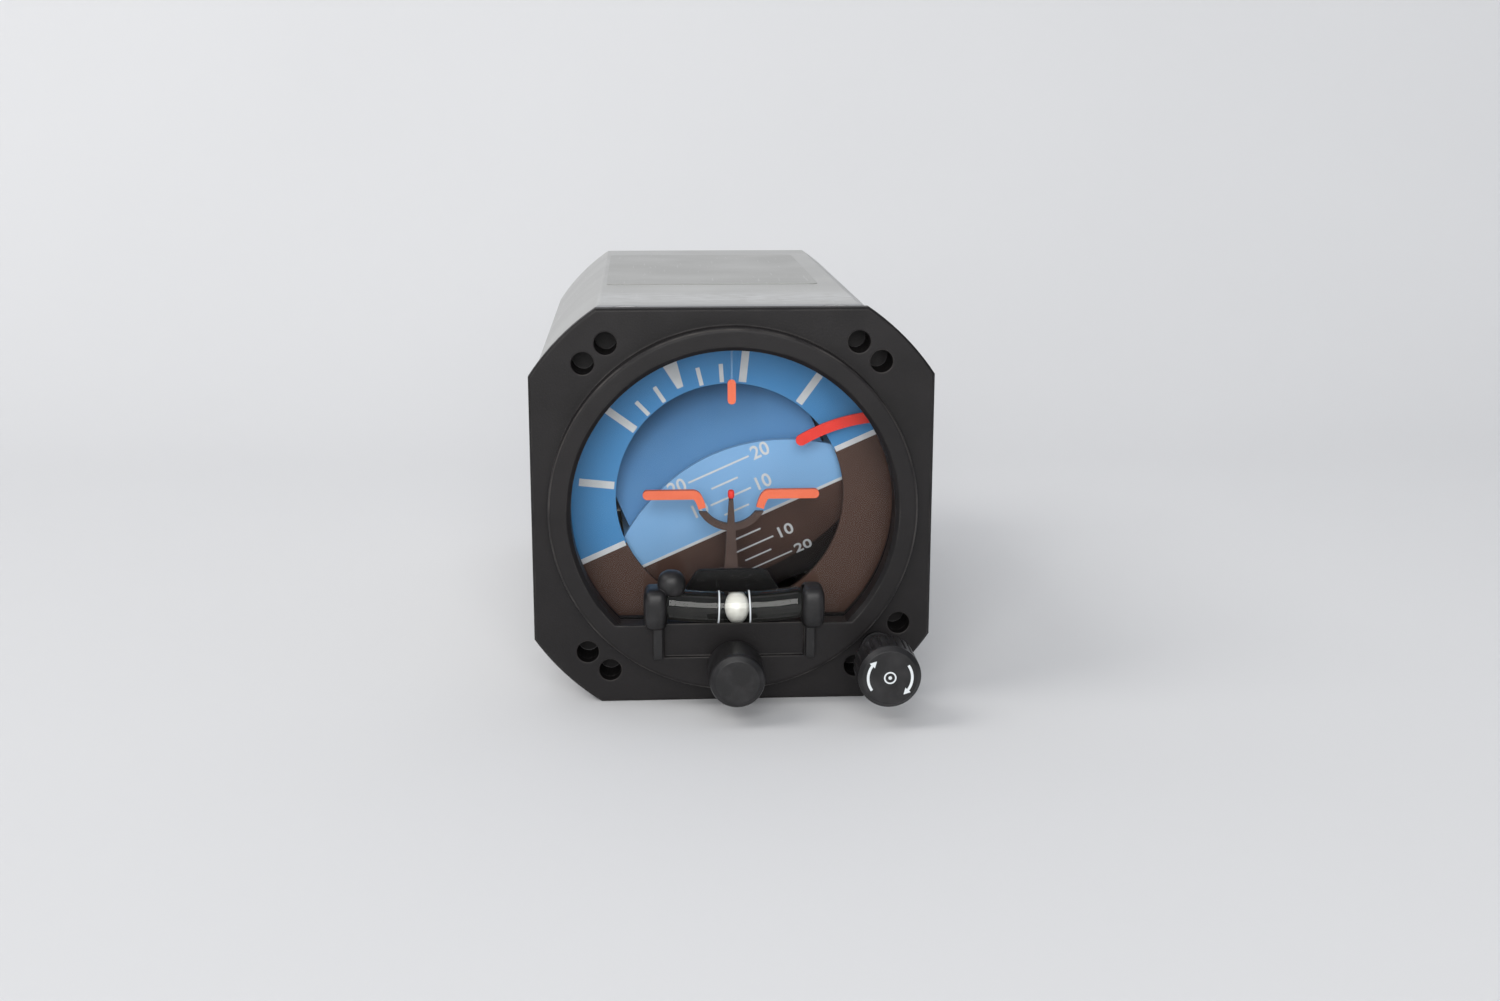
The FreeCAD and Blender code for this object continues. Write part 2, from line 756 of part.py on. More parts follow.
def make_rear_screws():
    """Screws of the rear plate and of the connector's flange."""
    return group(rear_plate_screws() + connector_screws())


def make_connector_shell():
    y0 = case_back_y
    flange = box(-connector_flange_half, connector_flange_half, y0, y0 + connector_flange_t,
                 -connector_flange_half, connector_flange_half)
    vertical = edges_at(flange, lambda e: e.BoundBox.YLength > 1)
    flange = flange.makeFillet(2.0, vertical)
    barrel = rod_y(connector_r, y0, y0 + connector_length)
    threads = [ring_y(connector_r + 1, connector_r - 0.35, y0 + start, y0 + start + 0.6)
               for start in (5.0, 6.4, 7.8, 9.2, 10.6)]
    bore = rod_y(connector_r - connector_wall, y0 - 1, y0 + connector_length + 1)
    holes = [rod_y(connector_screw_r + seat_gap, y0 - 1, y0 + connector_flange_t + 1, x, z)
             for x, z in connector_screw_places()]
    return fuse(flange, barrel).cut(group(threads)).cut(bore).cut(group(holes))


def make_connector_insert():
    y0 = cover_end_y
    return rod_y(connector_r - connector_wall - seat_gap, y0, y0 + connector_insert_length)


def make_connector_pins():
    y0 = cover_end_y + connector_insert_length
    pins = [rod_y(connector_pin_r, y0, y0 + connector_pin_length,
                  *on_circle(connector_pin_circle_r, 360.0 * k / connector_pin_count))
            for k in range(connector_pin_count)]
    pins.append(rod_y(connector_pin_r, y0, y0 + connector_pin_length))
    return group(pins)


def connector_screws():
    screws = []
    y0 = case_back_y
    for x, z in connector_screw_places():
        shank = rod_y(connector_screw_r, cover_end_y, y0 + connector_flange_t, x, z)
        head = rod_y(connector_screw_head_r, y0 + connector_flange_t,
                     y0 + connector_flange_t + connector_screw_head_t, x, z)
        screws.append(fuse(shank, head))
    return screws


# ---- roll gimbal --------------------------------------------------------------------------------
def fork_arm():
    """One arm, on the +X side: a tapered plate with a rounded slot ahead of the pitch bearing."""
    half_front, half_axis = fork_tip_half_z, fork_half_z
    outline = [(fork_x, dial_back_y, -half_front), (fork_x, pitch_axis_y, -half_axis),
               (fork_x, hub_back_y, -hub_bar_half_z), (fork_x, hub_back_y, hub_bar_half_z),
               (fork_x, pitch_axis_y, half_axis), (fork_x, dial_back_y, half_front)]
    arm = prism(outline, (fork_t, 0, 0))
    slot_front = dial_back_y + 7.0
    slot_back = pitch_axis_y - pitch_bearing_r - 9.0
    slot = fuse(box(fork_x - 1, fork_outer_x + 1, slot_front, slot_back,
                    -fork_slot_half_z, fork_slot_half_z),
                rod_x(fork_slot_half_z, fork_x - 1, fork_outer_x + 1, slot_front, 0),
                rod_x(fork_slot_half_z, fork_x - 1, fork_outer_x + 1, slot_back, 0))
    bore = rod_x(pitch_bearing_r + seat_gap, fork_x - 1, fork_outer_x + 1, pitch_axis_y, 0)
    return arm.cut(slot).cut(bore)


def make_roll_gimbal():
    right = fork_arm()
    for side in (1, -1):
        y, z = idler_centre(side)
        right = right.cut(rod_x(stud_r + seat_gap, fork_x - 1, fork_outer_x + 1, y, z))
    left = fork_arm().mirror(Vec(0, 0, 0), Vec(1, 0, 0))
    bar = box(-fork_outer_x, fork_outer_x, hub_y, hub_back_y, -hub_bar_half_z, hub_bar_half_z)
    upright = box(-hub_strap_half_x, hub_strap_half_x, hub_y, hub_back_y,
                  -shell_inner_r, shell_inner_r)
    disc = rod_y(hub_r, hub_y, hub_back_y)
    body = fuse(bar, upright, disc, right, left)
    return rolled(body.cut(rod_y(roll_shaft_r + seat_gap, hub_y - 1, hub_back_y + 1)))


def make_roll_dial():
    return rolled(ring_y(dial_r, dial_inner_r, dial_front_y, dial_back_y))


def make_sky_shell():
    """Curved backdrop behind the drum, with two straps back to the gimbal's hub."""
    length = 2 * shell_half_x
    outer = Part.makeCylinder(shell_r, length, Vec(-shell_half_x, pitch_axis_y, 0), Vec(1, 0, 0))
    inner = Part.makeCylinder(shell_inner_r, length + 2, Vec(-shell_half_x - 1, pitch_axis_y, 0),
                              Vec(1, 0, 0))
    front = box(-shell_half_x, shell_half_x, pitch_axis_y - shell_r, pitch_axis_y, -shell_r, shell_r)
    shell = outer.cut(inner).common(front)
    straps = [box(-hub_strap_half_x, hub_strap_half_x, pitch_axis_y - 0.5, hub_back_y, z0, z0 + shell_t)
              for z0 in (shell_inner_r, -shell_r)]
    return rolled(fuse(shell, *straps))


def make_roll_shaft():
    shaft = rod_y(roll_shaft_r, hub_y, roll_shaft_end_y)
    flange = rod_y(roll_shaft_flange_r, hub_y - roll_shaft_flange_t, hub_y)
    return rolled(fuse(shaft, flange))


def make_heart_cam():
    """Cam that the caging roller centres; its lobe points down when the gimbal is level."""
    steps = 48
    points = []
    for step in range(steps):
        angle = 2 * math.pi * step / steps
        radius = heart_cam_r + heart_cam_throw * abs(math.sin(angle / 2 + math.pi / 4))
        points.append((radius * math.cos(angle), hub_back_y, radius * math.sin(angle)))
    cam = prism(points, (0, heart_cam_t, 0))
    return rolled(cam.cut(rod_y(roll_shaft_r + seat_gap, hub_back_y - 1, hub_back_y + heart_cam_t + 1)))


def make_slip_rings():
    length = slip_ring_count * slip_ring_pitch
    core = ring_y(slip_core_r, roll_shaft_r + seat_gap, slip_start_y, slip_start_y + length)
    rings = []
    for index in range(slip_ring_count):
        middle = slip_start_y + (index + 0.5) * slip_ring_pitch
        rings.append(ring_y(slip_ring_r, slip_core_r - 0.4, middle - slip_ring_w / 2,
                            middle + slip_ring_w / 2))
    return rolled(fuse(core, *rings))


def make_pitch_bearings():
    bearings = []
    for x0 in (fork_x, -fork_outer_x):
        bearings.append(ring_x(pitch_bearing_r, sleeve_r + run_gap, x0, x0 + fork_t, pitch_axis_y, 0))
    return rolled(group(bearings))


# ---- pitch drum and its reversing gears ---------------------------------------------------------
def drum_arm(side):
    """Side arm from the drum's edge to its hub and on to the counterweight."""
    x0 = drum_half_x - drum_arm_t if side > 0 else -drum_half_x
    front_y = pitch_axis_y - (drum_r - drum_t / 2) * math.cos(math.radians(drum_side_angle()))
    outline = [(x0, front_y, -drum_arm_tip_half_z), (x0, pitch_axis_y, -drum_hub_r),
               (x0, pitch_axis_y + drum_tail, -drum_hub_r), (x0, pitch_axis_y + drum_tail, drum_hub_r),
               (x0, pitch_axis_y, drum_hub_r), (x0, front_y, drum_arm_tip_half_z)]
    arm = prism(outline, (drum_arm_t, 0, 0))
    return arm.cut(rod_x(sleeve_r + seat_gap, x0 - 1, x0 + drum_arm_t + 1, pitch_axis_y, 0))


def drum_edge_centre_z():
    """The drum's upper edge is an arc about this height, seen from the front."""
    return drum_r * math.sin(math.radians(drum_top_angle)) - drum_edge_r


def drum_side_angle():
    edge_z = drum_edge_centre_z() + math.sqrt(drum_edge_r ** 2 - drum_half_x ** 2)
    return math.degrees(math.asin(edge_z / drum_r))


def make_pitch_drum():
    length = 2 * drum_half_x
    outer = Part.makeCylinder(drum_r, length, Vec(-drum_half_x, pitch_axis_y, 0), Vec(1, 0, 0))
    inner = Part.makeCylinder(drum_r - drum_t, length + 2, Vec(-drum_half_x - 1, pitch_axis_y, 0),
                              Vec(1, 0, 0))
    front = box(-drum_half_x, drum_half_x, pitch_axis_y - drum_r - 1, pitch_axis_y - drum_r / 3,
                -drum_r, drum_r)
    face = outer.cut(inner).common(front)
    for side in (1, -1):
        disc = rod_y(drum_edge_r, pitch_axis_y - drum_r - 2, pitch_axis_y, 0, side * drum_edge_centre_z())
        face = face.common(disc)
    return pitched(fuse(face, drum_arm(1), drum_arm(-1), *drum_weights()), drum_pitch_rest)


def drum_weights():
    """Counterweights at the ends of the drum's arms."""
    y = pitch_axis_y + drum_tail
    return [box(x0, x0 + drum_weight_t, y, y + 2 * drum_weight_half_y,
                -drum_weight_half_z, drum_weight_half_z)
            for x0 in (drum_half_x - drum_arm_t, -drum_half_x + drum_arm_t - drum_weight_t)]


def make_drum_sleeves():
    """Hollow shafts of the drum; the gyro's pivots run inside them."""
    x0 = drum_half_x - drum_arm_t
    right = ring_x(sleeve_r, pivot_r + run_gap, x0, gear_far_x + gear_layer_t, pitch_axis_y, 0)
    left = ring_x(sleeve_r, pivot_r + run_gap, -fork_outer_x - 0.8, -x0, pitch_axis_y, 0)
    return pitched(group([right, left]), drum_pitch_rest)


lower_idler_phase = mate_phase(main_teeth, 0.0, -idler_half_angle, idler_teeth)
upper_idler_phase = mate_phase(idler_teeth, lower_idler_phase, 90.0, idler_teeth)
drum_gear_phase = mate_phase(idler_teeth, upper_idler_phase, 180.0 + idler_half_angle, main_teeth)


def make_gyro_gear():
    return rolled(gear_x(main_teeth, 0.0, gear_near_x, gear_end_x, pitch_axis_y, 0, pivot_r + seat_gap))


def make_drum_gear():
    return rolled(gear_x(main_teeth, drum_gear_phase, gear_far_x, gear_far_x + gear_layer_t,
                         pitch_axis_y, 0, sleeve_r + seat_gap))


def make_lower_idler():
    y, z = idler_centre(-1)
    return rolled(gear_x(idler_teeth, lower_idler_phase, gear_mid_x, gear_end_x, y, z, stud_r + run_gap))


def make_upper_idler():
    y, z = idler_centre(1)
    return rolled(gear_x(idler_teeth, upper_idler_phase, gear_far_x, gear_mid_x + gear_layer_t,
                         y, z, stud_r + run_gap))


def make_idler_studs():
    studs = []
    for side, gear_start, gear_stop in ((-1, gear_mid_x, gear_end_x),
                                        (1, gear_far_x, gear_mid_x + gear_layer_t)):
        y, z = idler_centre(side)
        pin = rod_x(stud_r, fork_x, gear_stop + slide_gap + stud_head_t, y, z)
        shoulder = rod_x(stud_head_r, fork_outer_x, gear_start - slide_gap, y, z)
        head = rod_x(stud_head_r, gear_stop + slide_gap, gear_stop + slide_gap + stud_head_t, y, z)
        studs.append(fuse(pin, shoulder, head))
    return rolled(group(studs))


# ---- gyro, drawn about its own centre with the spin axis up -------------------------------------
def housing_half(side):
    """Upper (+1) or lower (-1) shell with a bearing seat in the middle of its end wall."""
    inner_r = housing_r - housing_wall
    roof = housing_half_z
    ceiling = housing_half_z - housing_wall
    boss_r = rotor_bearing_r + housing_wall
    boss_low = ceiling - rotor_bearing_t + housing_wall
    profile = [(0, roof), (housing_r - 2.5, roof), (housing_r, roof - 2.5), (housing_r, 0),
               (inner_r, 0), (inner_r, ceiling - 2.0), (inner_r - 2.0, ceiling),
               (boss_r, ceiling), (boss_r, boss_low), (0, boss_low)]
    shell = revolve_z(profile)
    seat = rod_z(rotor_bearing_r + seat_gap, boss_low - 1, roof - housing_wall)
    shell = shell.cut(seat)
    if side < 0:
        shell = shell.mirror(Vec(0, 0, 0), Vec(0, 0, 1))
    return shell


def pivot_bosses():
    inner = housing_r - housing_wall
    right = rod_x(housing_pivot_boss_r, inner - 1.5, housing_pivot_boss_end)
    return fuse(right, right.mirror(Vec(0, 0, 0), Vec(1, 0, 0)))


def pivot_bores():
    return rod_x(pivot_r + seat_gap, -housing_pivot_boss_end - 1, housing_pivot_boss_end + 1)


def make_upper_housing():
    shell = fuse(housing_half(1), pivot_bosses()).cut(
        box(-housing_r - 3, housing_r + 3, -housing_r, housing_r, -housing_r, 0)).cut(pivot_bores())
    stub = rod_z(erector_stub_r, housing_half_z - 0.5,
                 housing_half_z + erector_rise + erector_t + 0.8)
    collar = rod_z(erector_stub_r + 1.6, housing_half_z - 0.5, housing_half_z + erector_rise - slide_gap)
    return gyro_placed(fuse(shell, stub, collar))


def make_lower_housing():
    shell = fuse(housing_half(-1), pivot_bosses()).cut(
        box(-housing_r - 3, housing_r + 3, -housing_r, housing_r, 0, housing_r)).cut(pivot_bores())
    return gyro_placed(fuse(shell, balance_weight()))


def make_pitch_pivots():
    right = rod_x(pivot_r, housing_r - housing_wall - 1.0, gear_end_x + 0.6)
    left = rod_x(pivot_r, -fork_outer_x - 1.6, -housing_r + housing_wall + 1.0)
    return gyro_placed(group([right, left]))


def make_rotor():
    """Heavy rim joined to its hub by a web above the stator."""
    web_low = rotor_half_z - rotor_web_t
    profile = [(0, web_low - 1.5), (3.0, web_low - 1.5), (3.0, web_low),
               (rotor_bore_r, web_low), (rotor_bore_r, -rotor_half_z), (rotor_r - 0.8, -rotor_half_z),
               (rotor_r, -rotor_half_z + 0.8), (rotor_r, rotor_half_z - 0.8),
               (rotor_r - 0.8, rotor_half_z), (0, rotor_half_z)]
    low, high = -rotor_shaft_half_z(), rotor_shaft_half_z()
    return gyro_placed(fuse(revolve_z(profile), rod_z(rotor_shaft_r, low, high)))


def rotor_shaft_half_z():
    return housing_half_z - housing_wall - free_gap


def rotor_bearing_spans():
    ceiling = housing_half_z - housing_wall
    return ((ceiling - rotor_bearing_t, ceiling), (-ceiling, -ceiling + rotor_bearing_t))


def make_rotor_bearings():
    rings = []
    for low, high in rotor_bearing_spans():
        ring = rod_z(rotor_bearing_r, low, high).cut(rod_z(rotor_shaft_r + run_gap, low - 1, high + 1))
        rings.append(ring)
    return gyro_placed(group(rings))


def make_stator():
    """Wound stator: a slotted core on a base ring that stands on the lower housing."""
    top = rotor_half_z - rotor_web_t - 2.0
    base = -housing_half_z + housing_wall
    core = rod_z(stator_r, -rotor_half_z + 1.0, top)
    for pole in range(stator_pole_count):
        slot = box(stator_bore_r + 2.2, stator_r + 1, -stator_slot_w / 2, stator_slot_w / 2,
                   -rotor_half_z, top + 1)
        core = core.cut(turned(slot, (0, 0, 0), (0, 0, 1), 360.0 * pole / stator_pole_count))
    foot_r = rotor_bearing_r + housing_wall
    foot = rod_z(foot_r + 2.0, base, -rotor_half_z + 1.0)
    hollow = rod_z(foot_r + free_gap, base - 1, base + rotor_bearing_t + 0.5)
    return gyro_placed(fuse(core, foot).cut(hollow).cut(rod_z(stator_bore_r, base - 1, top + 1)))


def make_erector_wheel():
    """Wheel above the gyro with three steel balls that lie in its pockets."""
    low = housing_half_z + erector_rise
    wheel = rod_z(erector_r, low, low + erector_t)
    rim_edges = edges_at(wheel, lambda e: e.BoundBox.XLength > erector_r and e.BoundBox.ZLength < 0.01)
    wheel = wheel.makeChamfer(0.5, rim_edges).cut(rod_z(erector_stub_r + run_gap, low - 1, low + erector_t + 1))
    pockets = [rod_z(erector_ball_r + 0.4, low + 0.8, low + erector_t + 1, x, y)
               for x, y in erector_ball_places()]
    height = low + 0.8 + erector_ball_r
    balls = [Part.makeSphere(erector_ball_r, Vec(x, y, height)) for x, y in erector_ball_places()]
    return gyro_placed(group([wheel.cut(group(pockets))] + balls))


def erector_ball_places():
    return [on_circle(erector_ball_circle_r, 360.0 * k / erector_ball_count)
            for k in range(erector_ball_count)]


def balance_weight():
    """Stud with a round weight behind the housing that balances the gyro about its pivots."""
    start = housing_r - 0.4
    stud = rod_y(balance_stud_r, start, start + 2 * balance_nut_t, 0, balance_z)
    nut = rod_y(balance_nut_r, start + 0.5, start + 0.5 + balance_nut_t, 0, balance_z)
    return fuse(stud, nut)


# ---- miniature aircraft, rack and adjusting knob ------------------------------------------------
def bar_between(x0, z0, x1, z1, width, y0, y1):
    """A flat bar with rounded ends between two points of the front plane."""
    length = math.hypot(x1 - x0, z1 - z0)
    nx = -(z1 - z0) / length * width / 2
    nz = (x1 - x0) / length * width / 2
    strip = prism([(x0 + nx, y0, z0 + nz), (x1 + nx, y0, z1 + nz),
                   (x1 - nx, y0, z1 - nz), (x0 - nx, y0, z0 - nz)], (0, y1 - y0, 0))
    return fuse(strip, rod_y(width / 2, y0, y1, x0, z0), rod_y(width / 2, y0, y1, x1, z1))


def make_airplane_wings():
    """Two wings whose roots bend down to the ends of the arc below."""
    root_angle = math.radians(32.0)
    join_x = arc_r * math.cos(root_angle)
    join_z = symbol_z - arc_r * math.sin(root_angle)
    y1 = symbol_y + symbol_t
    wings = []
    for side in (1, -1):
        wing = bar_between(side * wing_tip_x, symbol_z, side * wing_root_x, symbol_z, symbol_bar,
                           symbol_y, y1)
        drop = bar_between(side * wing_root_x, symbol_z, side * join_x, join_z, symbol_bar,
                           symbol_y, y1)
        wings.append(fuse(wing, drop).cut(rod_y(arc_r + arc_bar / 2, symbol_y - 1, y1 + 1, 0, symbol_z)
                                          .common(box(-arc_r, arc_r, symbol_y - 1, y1 + 1,
                                                      join_z - arc_r, join_z))))
    return group(wings)


def make_airplane_mount():
    """Arc and mast that carry the wings, with the foot that the rack's slider holds."""
    root_angle = math.radians(32.0)
    join_z = symbol_z - arc_r * math.sin(root_angle)
    y1 = symbol_y + symbol_t
    arc = ring_y(arc_r + arc_bar / 2, arc_r - arc_bar / 2, symbol_y, y1, 0, symbol_z)
    arc = arc.common(box(-arc_r - arc_bar, arc_r + arc_bar, symbol_y, y1,
                         symbol_z - arc_r - arc_bar, join_z))
    mast = prism([(-mast_top_w / 2, symbol_y, symbol_z - pip_r * 0.6),
                  (mast_top_w / 2, symbol_y, symbol_z - pip_r * 0.6),
                  (mast_foot_w / 2, symbol_y, mast_foot_z), (-mast_foot_w / 2, symbol_y, mast_foot_z)],
                 (0, symbol_t, 0))
    pad = box(-mast_foot_w / 2 - 1.0, mast_foot_w / 2 + 1.0, symbol_y, rack_y,
              slider_bridge_z + 0.3, mast_foot_z + 0.2)
    body = fuse(arc, mast, pad)
    return body.cut(rod_y(pip_r, symbol_y - 1, y1 + 1, 0, symbol_z))


def make_airplane_pip():
    return rod_y(pip_r - seat_gap, symbol_y - 0.2, symbol_y + symbol_t, 0, symbol_z)


def make_symbol_rack():
    """Slider behind the pedestal with a rack down its left leg, facing the pinion."""
    y0, y1 = rack_y, rack_y + slider_t
    pitch_x = -pinion_r
    root_x = pitch_x - 1.25 * gear_module
    bridge = box(-slider_half_x, slider_half_x, y0, y1, slider_bridge_z, slider_top_z)
    leg = box(-slider_half_x, root_x, y0, y1, rack_foot_z, slider_bridge_z + 0.1)
    right_leg = box(slider_half_x - 2.0, slider_half_x, y0, y1, rack_head_z - 2.0,
                    slider_bridge_z + 0.1)
    pitch = math.pi * gear_module
    slope = math.tan(math.radians(pressure_angle))
    half = (pitch / 2 - backlash) / 2
    teeth = []
    count = int((rack_head_z - adjust_z) / pitch)
    for index in range(-3, count):
        z = adjust_z + (index + 0.5) * pitch
        low, high = z - half - 1.25 * gear_module * slope, z + half + 1.25 * gear_module * slope
        if low < rack_foot_z:
            continue
        tip = half - gear_module * slope
        teeth.append(prism([(root_x - 0.1, y0, low), (root_x, y0, low),
                            (pitch_x + gear_module, y0, z - tip), (pitch_x + gear_module, y0, z + tip),
                            (root_x, y0, high), (root_x - 0.1, y0, high)], (0, slider_t, 0)))
    return fuse(bridge, leg, right_leg, *teeth)


def make_symbol_pedestal():
    """Black plate behind the window's lower edge; its rails guide the slider."""
    y0 = retainer_back_y
    y1 = y0 + pedestal_t
    plate = prism([(-pedestal_half_x, y0, pedestal_foot_z), (-pedestal_half_x, y0, window_floor_z + 1),
                   (-pedestal_top_half_x, y0, pedestal_top_z), (pedestal_top_half_x, y0, pedestal_top_z),
                   (pedestal_half_x, y0, window_floor_z + 1), (pedestal_half_x, y0, pedestal_foot_z)],
                  (0, pedestal_t, 0))
    top_edges = edges_at(plate, lambda e: e.BoundBox.YLength > 1 and e.BoundBox.ZMin > pedestal_top_z - 0.1)
    plate = plate.makeFillet(2.0, top_edges)
    rails = []
    for side in (1, -1):
        inner = slider_half_x + slide_gap
        x0, x1 = sorted((side * inner, side * (inner + rail_t)))
        rails.append(box(x0, x1, y1, rack_y + slider_t + slide_gap, pedestal_foot_z, slider_bridge_z - 3.0))
    return fuse(plate, *rails)


def make_slider_keeper():
    """Flat cover that keeps the slider between the pedestal's rails."""
    y0 = rack_y + slider_t + slide_gap
    outer = slider_half_x + slide_gap + rail_t
    return box(-outer, outer, y0, y0 + keeper_t, pedestal_foot_z, slider_bridge_z - 3.0)


def adjust_bushing():
    flange = rod_y(adjust_bush_flange_r, -boss_h - adjust_bush_flange_t, -boss_h, 0, adjust_z)
    tube = rod_y(adjust_bush_r, -boss_h - 0.1, flange_t + adjust_bush_tail, 0, adjust_z)
    bore = rod_y(adjust_shaft_r + run_gap, -boss_h - 3, flange_t + adjust_bush_tail + 1, 0, adjust_z)
    return fuse(flange, tube).cut(bore)


def make_adjust_knob():
    y0 = adjust_knob_front_y
    y1 = y0 + adjust_knob_length
    edge = adjust_knob_edge
    profile = [(0, y0), (adjust_knob_r - edge - 0.4, y0), (adjust_knob_r - 0.3, y0 + edge * 0.7),
               (adjust_knob_r, y0 + edge * 1.6), (adjust_knob_r, y1 - 0.6),
               (adjust_knob_r - 0.6, y1), (adjust_shaft_r + seat_gap, y1),
               (adjust_shaft_r + seat_gap, y0 + 3.0), (0, y0 + 3.0)]
    return revolve_y(profile, 0, adjust_z)


def make_adjust_pinion():
    """Shaft of the adjusting knob with the pinion cut on its inner end; a tooth faces the rack."""
    points = [(u, rack_y, adjust_z + v) for u, v in gear_outline(pinion_teeth, 180.0)]
    shaft = rod_y(adjust_shaft_r, adjust_knob_front_y + 3.2, rack_y + pinion_t + 0.4, 0, adjust_z)
    return fuse(prism(points, (0, pinion_t, 0)), shaft)


# ---- index and warning flag ---------------------------------------------------------------------
def make_roll_index():
    """Pointer at the top of the dial, on a thin neck from the lens ring."""
    y0 = retainer_back_y
    y1 = y0 + index_t
    pointer = bar_between(0, index_bottom_z + index_w / 2, 0, index_top_z - index_w / 2, index_w, y0, y1)
    neck = box(-index_neck_w / 2, index_neck_w / 2, y0, y1, index_top_z - 1, window_r + retainer_lap + 2.0)
    foot = box(-index_foot_half_x, index_foot_half_x, y0, y1, window_r + retainer_lap + 0.6,
               window_r + retainer_lap + 2.2)
    return fuse(pointer, neck, foot)


def flag_arc_centre():
    """Centre of the flag's arc, below and to the inside of its chord."""
    mid_x, mid_z = (flag_pivot_x + flag_tip_x) / 2, (flag_pivot_z + flag_tip_z) / 2
    dx, dz = flag_tip_x - flag_pivot_x, flag_tip_z - flag_pivot_z
    half_chord = math.hypot(dx, dz) / 2
    drop = math.sqrt(flag_arc_r ** 2 - half_chord ** 2)
    nx, nz = -dz / (2 * half_chord), dx / (2 * half_chord)
    return mid_x + nx * drop, mid_z + nz * drop


def flag_plane():
    y0 = retainer_back_y + flag_coil_length + flag_gap
    return y0, y0 + flag_t


def make_warning_flag():
    """Curved flag staked to the pin that turns in its coil."""
    y0, y1 = flag_plane()
    cx, cz = flag_arc_centre()
    band = ring_y(flag_arc_r + flag_w / 2, flag_arc_r - flag_w / 2, y0, y1, cx, cz)
    start = math.atan2(flag_pivot_z - cz, flag_pivot_x - cx)
    stop = math.atan2(flag_tip_z - cz, flag_tip_x - cx)
    reach = 2 * flag_arc_r
    wedge = prism([(cx, y0 - 1, cz), (cx + reach * math.cos(start), y0 - 1, cz + reach * math.sin(start)),
                   (cx + reach * math.cos(stop), y0 - 1, cz + reach * math.sin(stop))],
                  (0, flag_t + 2, 0))
    bar = band.common(wedge)
    tip = rod_y(flag_w / 2, y0, y1, flag_tip_x, flag_tip_z)
    hub = rod_y(flag_hub_r, y0, y1, flag_pivot_x, flag_pivot_z)
    pin = rod_y(flag_pin_r, retainer_back_y + 0.4, y1 + 0.4, flag_pivot_x, flag_pivot_z)
    return fuse(bar, tip, hub, pin)


def make_flag_coil():
    y0 = retainer_back_y
    y1 = y0 + flag_coil_length
    coil = rod_y(flag_coil_r, y0, y1, flag_pivot_x, flag_pivot_z)
    waist = ring_y(flag_coil_r + 1, flag_coil_r - 0.3, y0 + 0.8, y1 - 0.8, flag_pivot_x, flag_pivot_z)
    hole = rod_y(flag_pin_r + run_gap, y0 + 0.3, y1 + 1, flag_pivot_x, flag_pivot_z)
    return coil.cut(waist).cut(hole)


# ---- slip indicator -----------------------------------------------------------------------------
def bend_centre_z():
    return tube_z + tube_bend_r


def bent_rod(radius, half_angle):
    """A round rod bent along the tube's arc, both ways from its lowest point."""
    centre = Vec(0, tube_y, bend_centre_z())
    start = turned(Part.Face(Part.Wire(Part.makeCircle(radius, Vec(0, tube_y, tube_z), Vec(1, 0, 0)))),
                   (0, tube_y, bend_centre_z()), (0, 1, 0), -half_angle)
    return start.revolve(centre, Vec(0, 1, 0), 2 * half_angle)


def along_tube(shape, x):
    """Turns a piece drawn at the tube's lowest point to the place x along it."""
    angle = math.degrees(math.asin(x / tube_bend_r))
    return turned(shape, (0, tube_y, bend_centre_z()), (0, 1, 0), -angle)


def make_slip_tube():
    return bent_rod(tube_r, tube_half_angle).cut(bent_rod(tube_bore_r, tube_half_angle + 1))


def make_slip_ball():
    return along_tube(Part.makeSphere(slip_ball_r, Vec(0, tube_y, tube_z)), slip_ball_rest_x)


def make_tube_lines():
    lines = []
    for x in (-tube_line_x, tube_line_x):
        ring = ring_x_band(tube_r + seat_gap, tube_r + seat_gap + tube_line_t, tube_line_w)
        lines.append(along_tube(ring, x))
    return group(lines)


def ring_x_band(inner, outer, width):
    return ring_x(outer, inner, -width / 2, width / 2, tube_y, tube_z)


def slip_cap(side):
    """End cap of the slip tube with a leg that stands on the bezel's face."""
    rear_y = lens_front_y - free_gap
    lower_z = window_floor_z + free_gap
    x0, x1 = sorted((side * cap_inner_x, side * cap_outer_x))
    block = box(x0, x1, cap_front_y, rear_y, lower_z, cap_top_z)
    lip = box(x0, x1, cap_front_y, -boss_h, cap_bottom_z, lower_z + 0.5)
    body = fuse(block, lip)
    outer_x = side * cap_outer_x
    round_edges = edges_at(body, lambda e: (abs(e.BoundBox.XMin - outer_x) < 0.01
                                            and abs(e.BoundBox.XMax - outer_x) < 0.01
                                            and (e.BoundBox.ZMin > cap_top_z - 0.01
                                                 or e.BoundBox.YMax < cap_front_y + 0.01)))
    body = body.makeFillet(cap_edge, round_edges)
    lx0, lx1 = sorted((side * cap_leg_inner_x, side * cap_leg_outer_x))
    leg = box(lx0, lx1, -boss_h - cap_leg_t, -boss_h, cap_leg_foot_z, cap_bottom_z + 0.5)
    body = fuse(body, leg)
    if side < 0:
        body = fuse(body, rod_y(filler_r, filler_front_y, filler_back_y, filler_x, filler_z))
    socket = bent_rod(tube_r + seat_gap, tube_half_angle + free_gap / 3)
    return body.cut(socket)


def make_slip_caps():
    return group([slip_cap(-1), slip_cap(1)])


# ---- caging knob, rod and arm -------------------------------------------------------------------
def make_knob_bushings():
    return group([adjust_bushing(), cage_bushing()])


def cage_bushing():
    flange = rod_y(cage_bush_flange_r, -cage_bush_flange_t, 0, cage_x, cage_z)
    tube = rod_y(cage_bush_r, -0.1, frame_back_y + frame_lug_depth, cage_x, cage_z)
    bore = rod_y(cage_rod_r + run_gap, -3, frame_back_y + frame_lug_depth + 1, cage_x, cage_z)
    return fuse(flange, tube).cut(bore)


